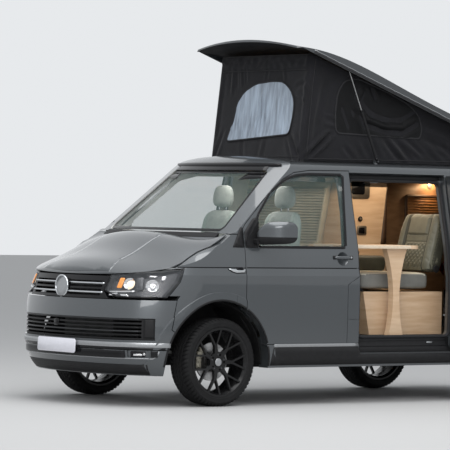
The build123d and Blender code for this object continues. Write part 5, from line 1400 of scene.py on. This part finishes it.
def make_dash_fittings():
    """Screen, four air vents and the instrument hood."""
    dash = Mass()
    tilt = Vector((0, 0.94, 0.34))
    ahead = (0, -1, 0)
    place, _ = surface_at(["dashboard"], (0.0, -0.4, 1.165), ahead)
    slab(dash, place - tilt * 0.012, tilt, 0.24, 0.135, 0.018, 0)
    for x in (-0.64, -0.18, 0.18, 0.64):
        place, _ = surface_at(["dashboard"], (x, -0.4, 1.205), ahead)
        slab(dash, place - tilt * 0.010, tilt, 0.105, 0.055, 0.014, 0)
        for row in (-0.016, 0.0, 0.016):
            ends = [place + Vector((shift, 0.008, row)) for shift in (-0.045, 0.0, 0.045)]
            strip(dash, ends, tilt, 0.004, 0.004, look=1)
    place, _ = surface_at(["dashboard"], (-0.415, -1.1, 1.6), -UP)
    hood = ((-0.010, 0.165, 0.085), (0.022, 0.155, 0.078), (0.034, 0.130, 0.060))
    loft_pad(dash, [((-0.415, -1.055, place.z + rise), a, b) for rise, a, b in hood], 32, 3.0, 2)
    dash.piece("dash_fittings", [GLOSS, SATIN, DASH])


# Edges of doorway, arches and lid, mirror caps, tail and brakes

ARCH_YS, ARCH_Z = (-1.552, 1.474), 0.35


def make_mirror_caps():
    """Painted upper caps on the mirror housings, a hair over the dark shells."""
    for side, word in SIDES:
        shell = bmesh.new()
        shell.from_mesh(NODES[f"mirror_{word}"].data)
        every = shell.verts[:] + shell.edges[:] + shell.faces[:]
        bmesh.ops.bisect_plane(shell, geom=every, plane_co=(0, 0, 1.338), plane_no=UP, clear_inner=True)
        away = [face for face in shell.faces if face.calc_center_median().x * side < 0.955
                or face.normal.dot(mirror_way(side)) > 0.5]
        bmesh.ops.delete(shell, geom=away, context="FACES")
        for vertex in shell.verts:
            vertex.co += vertex.normal * 0.0012
        mesh = bpy.data.meshes.new(f"mirror_cap_{word}")
        shell.to_mesh(mesh)
        shell.free()
        mesh.materials.append(PAINT)
        for face in mesh.polygons:
            face.use_smooth = True
            face.material_index = 0
        placed(f"mirror_cap_{word}", mesh, f"{word}_door")


def make_tailgate_fittings():
    """Handle bar with its lamps, blank plate, rubbing strip, wiper and the high brake lamp."""
    gate = Mass()
    gate_skin, glass = seen("tail", "tailgate"), seen("tail", "tailgate_glass")
    for z, width, height, thick, look in ((1.118, 0.46, 0.050, 0.014, 0), (0.990, 0.50, 0.108, 0.006, 1),
                                          (1.838, 0.36, 0.024, 0.006, 4)):
        slab(gate, *gate_skin(0, z), width, height, thick, look)
    handle, _ = gate_skin(0, 1.118)
    for x in (-0.16, 0.16):
        slab(gate, handle + Vector((x, 0, -0.026)), (0, 0.4, -0.92), 0.060, 0.018, 0.004, 3)
    strip_on(gate, level(-0.65, 0.65, 26, 0.648), gate_skin, 0.030, 0.004, look=2)
    hub, normal = seen("tail", "tailgate", "tailgate_glass")(0, 1.235)
    knob(gate, hub, normal, 0.030, 0.030, 0)
    tip, out = glass(-0.420, 1.330)
    arm = [hub + normal * 0.030, (hub + tip) / 2 + normal * 0.032, tip + out * 0.020]
    strip(gate, arm, normal, [0.022, 0.016, 0.012], 0.010)
    strip_on(gate, level(-0.560, -0.200, 12, 1.318, 1.3384), glass, 0.012, 0.012, DOME, lift=0.006)
    gate.piece("tailgate_fittings", [GLOSS, PLATE_BLANK, MOULDING, LAMP_BACK, RED_LENS], "tailgate")


def make_bumper_and_lamps():
    """Rear bumper's pad, reflectors and sensors, and the bright segments of the tail lamps."""
    low = Mass()
    bumper = seen("tail", "rear_bumper")
    strip_on(low, level(-0.75, 0.75, 30, 0.600), bumper, 0.034, 0.008)
    for side, _ in SIDES:
        slab(low, *bumper(side * 0.69, 0.430), 0.130, 0.032, 0.006, 1)
        for x in (0.30, 0.60):
            knob(low, *bumper(side * x, 0.520), 0.013, 0.003, 2, 20, 0.1)
        # Look 4, the amber segment, carries the amber finish's painted glow.
        for z0, z1, look in ((0.935, 1.030, 3), (1.045, 1.110, 4), (1.130, 1.235, 3), (1.255, 1.420, 3)):
            flat = [(side * (0.846 - 0.062 * (z - 0.9)), z) for _, z in level(0, 0, 8, z0, z1)]
            points, _ = laid(flat, seen("tail", "tail_lamps"), -0.001)
            strip(low, points, (side * 0.25, 0.97, 0), 0.052, 0.003, FLAT, look=look)
    low.piece("rear_bumper_and_lamp_detail", [MOULDING, RED_LENS, GLOSS, RED_GLOW, AMBER_PAINTED_GLOW])


def arc_point(x, y0, radius, degrees):
    """Point on a wheel arch about a centre at ARCH_Z."""
    turn = radians(degrees)
    return Vector((x, y0 + radius * cos(turn), ARCH_Z + radius * sin(turn)))


def make_arches_and_brakes():
    """Dark liners inside the wheel arches and pale caliper covers."""
    liners = Mass()
    for side, _ in SIDES:
        for y0, radius in zip(ARCH_YS, (0.474, 0.444)):
            inner_x = side * 0.745
            arc = [arc_point(inner_x, y0, radius, step * 3) for step in range(-1, 62)]
            ways = [(Vector((inner_x, y0, ARCH_Z)) - point).normalized() for point in arc]
            strip(liners, arc, ways, 0.235, 0.003, FLAT)
    liners.piece("arch_liners", UNDERBODY)
    for corner, (x0, y0) in WHEELS.items():
        side = copysign(1, x0)
        hub = Vector((x0 - side * 0.010, y0, TYRE_R))
        holder = Mass()
        for turn in (-40, -24, -8, 8):
            reach = Vector((0, -cos(radians(turn)), -sin(radians(turn))))
            slab(holder, hub + reach * 0.146, (side, 0, 0), 0.050, 0.050, 0.032, 0)
        holder.piece(f"brake_caliper_{corner}", [CALIPER], KNUCKLES.get(corner, "body"))


def arch_edges(fixed, on_door, side, word):
    """Lips round both wheel arches, split where the front one passes over the door."""
    door = f"front_door_{word}"
    panels = seen(word, f"wing_{word}", "front_bumper", "front_valance", f"body_side_{word}")
    for y0, radius in zip(ARCH_YS, (0.487, 0.459)):
        runs = []
        for step in range(-2, 93):
            _, y, z = arc_point(0, y0, radius, step * 2)
            moving = bool(skin(door).ray_cast(Vector((side * OFF_SIDE, y, z)), Vector((-side, 0, 0)))[0])
            if not runs or runs[-1][0] != moving:
                runs.append((moving, []))
            runs[-1][1].append((seen(word, door) if moving else panels)(y, z)[0])
        for moving, line in runs:
            if len(line) > 2:
                strip(on_door if moving else fixed, line, (side, 0, 0), 0.016, 0.004, look=int(not moving))


def make_doorway():
    """Black seal round the side doorway, its top rail, the step's tread, arch edges, and black belt strips
    that are painted shade along the crease.
    """
    edge = Mass()
    shell = seen("left", "body_side_left")
    hole = rounded([(-0.110, 0.536), (-0.110, 1.812), (0.872, 1.806), (0.872, 0.536)], 0.05)
    line, _ = laid(spaced(hole, 0.03, True), shell)
    strip(edge, line, (1, 0, 0.1), 0.026, 0.012, closed=True)
    strip_on(edge, level(-0.12, 0.87, 20, 1.838), shell, 0.034, 0.010, look=1)
    tread = [(-0.128, 0.404), (0.868, 0.404), (0.868, 0.528), (-0.128, 0.528)]
    panel(edge, tread, shell, 0.004, 1, 0.05)
    for z in (0.425, 0.443, 0.461, 0.505):
        strip_on(edge, level(-0.11, 0.85, 16, z), shell, 0.006, 0.008, DOME, look=1)
    place, normal = shell(0.66, 0.487)
    slab(edge, place + normal * 0.004, normal, 0.060, 0.014, 0.004, 2)
    for side, word in SIDES:
        door, wing, flank = f"front_door_{word}", f"wing_{word}", f"body_side_{word}"
        strip_on(edge, level(-1.020, -0.152, 16, 0.476), seen(word, flank), 0.024, 0.003, look=2)
        on_door = Mass()
        arch_edges(edge, on_door, side, word)
        # The thin black strips along BELT_Z are painted shade: they darken the belt crease's groove where its
        # shadow and dark reflection fall.
        rear = (0.920, (flank, "sliding_door")) if side > 0 else (-0.120, (flank,))
        for mass, start, end, nodes, look in (
                (on_door, -1.290, -0.165, (door,), 1), (edge, -1.930, -1.330, (wing,), 0),
                (edge, rear[0], 2.200, rear[1], 0)):
            line = spaced([(start, BELT_Z), (end, BELT_Z)], 0.03)
            strip_on(mass, line, seen(word, *nodes), 0.0085, 0.0012, look=look)
        on_door.piece(f"door_arch_lip_and_painted_crease_shade_{word}", [MOULDING, GLOSS], f"{word}_door")
    edge.piece("doorway_arch_trim_and_painted_crease_shade", [WEBBING, MOULDING, SATIN])


def lid_rim(side, y, z):
    """Point of the lid's outer side at a height, or None where there is only its inside."""
    place, _, _, _ = skin("roof_lid").ray_cast(Vector((side * OFF_SIDE, y, z)), Vector((-side, 0, 0)))
    return place if place and abs(place.x) > 0.69 else None


def make_lid_trim():
    """Dark band and bright line on the lid's rim, and the struts' end collars."""
    rim, collars = Mass(), Mass()
    for side, _ in SIDES:
        low, high = [], []
        for y, z in level(-1.02, 2.12, 62, 2.4766, 1.5032):
            while z < 3.1 and not lid_rim(side, y, z):
                z += 0.004
            lines = [lid_rim(side, y, z + lift) for lift in (0.012, 0.027)]
            if all(lines):
                low.append(lines[0])
                high.append(lines[1])
        strip(rim, low, (side, 0, 0), 0.020, 0.003)
        strip(rim, high, (side, 0, 0), 0.0055, 0.0025, look=1)
        strut_x = side * 0.655
        foot, head = Vector((strut_x, 0.258, 1.966)), Vector((strut_x, -0.071, 2.728))
        along = (head - foot).normalized()
        knob(collars, foot + along * 0.440, along, 0.0125, 0.016, 0)
        knob(collars, foot + along * 0.012, along, 0.0135, 0.020, 0)
    rim.piece("lid_rim_strips", [WEBBING, SATIN], "roof_lid")
    collars.piece("strut_collars", GLOSS, "strut_cylinders")


# Camera, floor and light

def make_camera():
    """The photograph's view: a long lens well in front of the van, on its left."""
    azimuth, elevation, roll = radians(52.5867), radians(-0.3236), radians(1.1667)
    lens_px, frame_px, sensor_mm = 3275.8, 450, 36
    look = Vector((-sin(azimuth) * cos(elevation), cos(azimuth) * cos(elevation), sin(elevation)))
    across = Vector((cos(azimuth), sin(azimuth), 0))
    upward = across.cross(look)
    right = across * cos(roll) + upward * sin(roll)
    up = upward * cos(roll) - across * sin(roll)
    data = bpy.data.cameras.new("photo_camera")
    data.sensor_width = sensor_mm
    data.lens = lens_px / frame_px * sensor_mm
    data.clip_end = 400
    camera = placed("photo_camera", data, None)
    eye, turn = (21.335, -17.125, 1.572), Matrix((right, up, -look)).transposed()
    camera.matrix_world = Matrix.Translation(eye) @ turn.to_4x4()
    bpy.context.scene.camera = camera


def seen_or_mirrored(tree):
    """1 for camera, glossy and transmission rays, 0 for light that falls on things."""
    path = tree.nodes.new("ShaderNodeLightPath").outputs
    total = path["Is Camera Ray"]
    for other in ("Is Glossy Ray", "Is Transmission Ray"):
        total = put(tree, "ShaderNodeMath", {0: total, 1: path[other]}, operation="MAXIMUM").outputs["Value"]
    return total


def lamp(name, place, target, size, power, colour):
    """A soft rectangular lamp that isn't itself seen."""
    data = bpy.data.lights.new(name, "AREA")
    data.shape = "RECTANGLE"
    data.size, data.size_y = size
    data.energy = power
    data.color = colour
    light = placed(name, data, None)
    light.location = place
    light.rotation_euler = (Vector(target) - Vector(place)).to_track_quat("-Z", "Y").to_euler()
    light.visible_camera = False


def make_stage():
    """Pale floor and surround, two wide soft lamps outside and three small ones in the cabin."""
    scene = bpy.context.scene
    scene.view_settings.view_transform = "Standard"
    world = bpy.data.worlds.new("studio")
    scene.world = world
    world.use_nodes = True
    tree = world.node_tree
    shades = {"A": (0.62, 0.64, 0.66, 1), "B": (0.80, 0.82, 0.84, 1)}
    mixer = put(tree, "ShaderNodeMix", data_type="RGBA")
    for key, shade in shades.items():
        mixer.inputs[key].default_value = shade
    tree.links.new(seen_or_mirrored(tree), mixer.inputs["Factor"])
    tree.links.new(mixer.outputs["Result"], tree.nodes["Background"].inputs["Color"])
    bpy.ops.mesh.primitive_plane_add(size=120, location=(0, 0, 0))
    floor = bpy.context.object
    floor.name = "studio_floor"
    floor.data.materials.append(finish("studio_floor_paint", (0.46, 0.46, 0.46), rough=0.8))
    lamp("overhead", (2.0, -1.5, 7.5), (0, 0, 0), (7, 10), 620, (1, 1, 1))
    lamp("front_fill", (9, -9, 4.5), (0, -0.5, 1.0), (6, 4), 320, (1, 1, 1))
    lamp("cabin", (0.0, 0.9, 1.80), (0.1, 0.9, 0.5), (0.9, 1.2), 9, (1.0, 0.80, 0.58))
    lamp("reading", (-0.60, 1.98, 1.84), (-0.80, 1.98, 1.60), (0.05, 0.05), 2.2, (1.0, 0.64, 0.34))
    lamp("cab", (0.0, -0.6, 1.82), (0, -0.7, 0.5), (0.8, 0.5), 4, (1.0, 0.97, 0.92))


make_camera()
make_stage()
dress_cad_nodes()
make_tent()
make_tent_windows()
make_headlamp_insides()
make_front()
make_door_trim()
make_side_trim()
make_screen_trim()
make_wheels()
make_bench_cushion()
make_bench_back()
make_cab_seats()
make_wall_linings()
make_kitchen_fittings()
make_table_edge()
make_dash_fittings()
make_doorway()
make_lid_trim()
make_mirror_caps()
make_tailgate_fittings()
make_bumper_and_lamps()
make_arches_and_brakes()
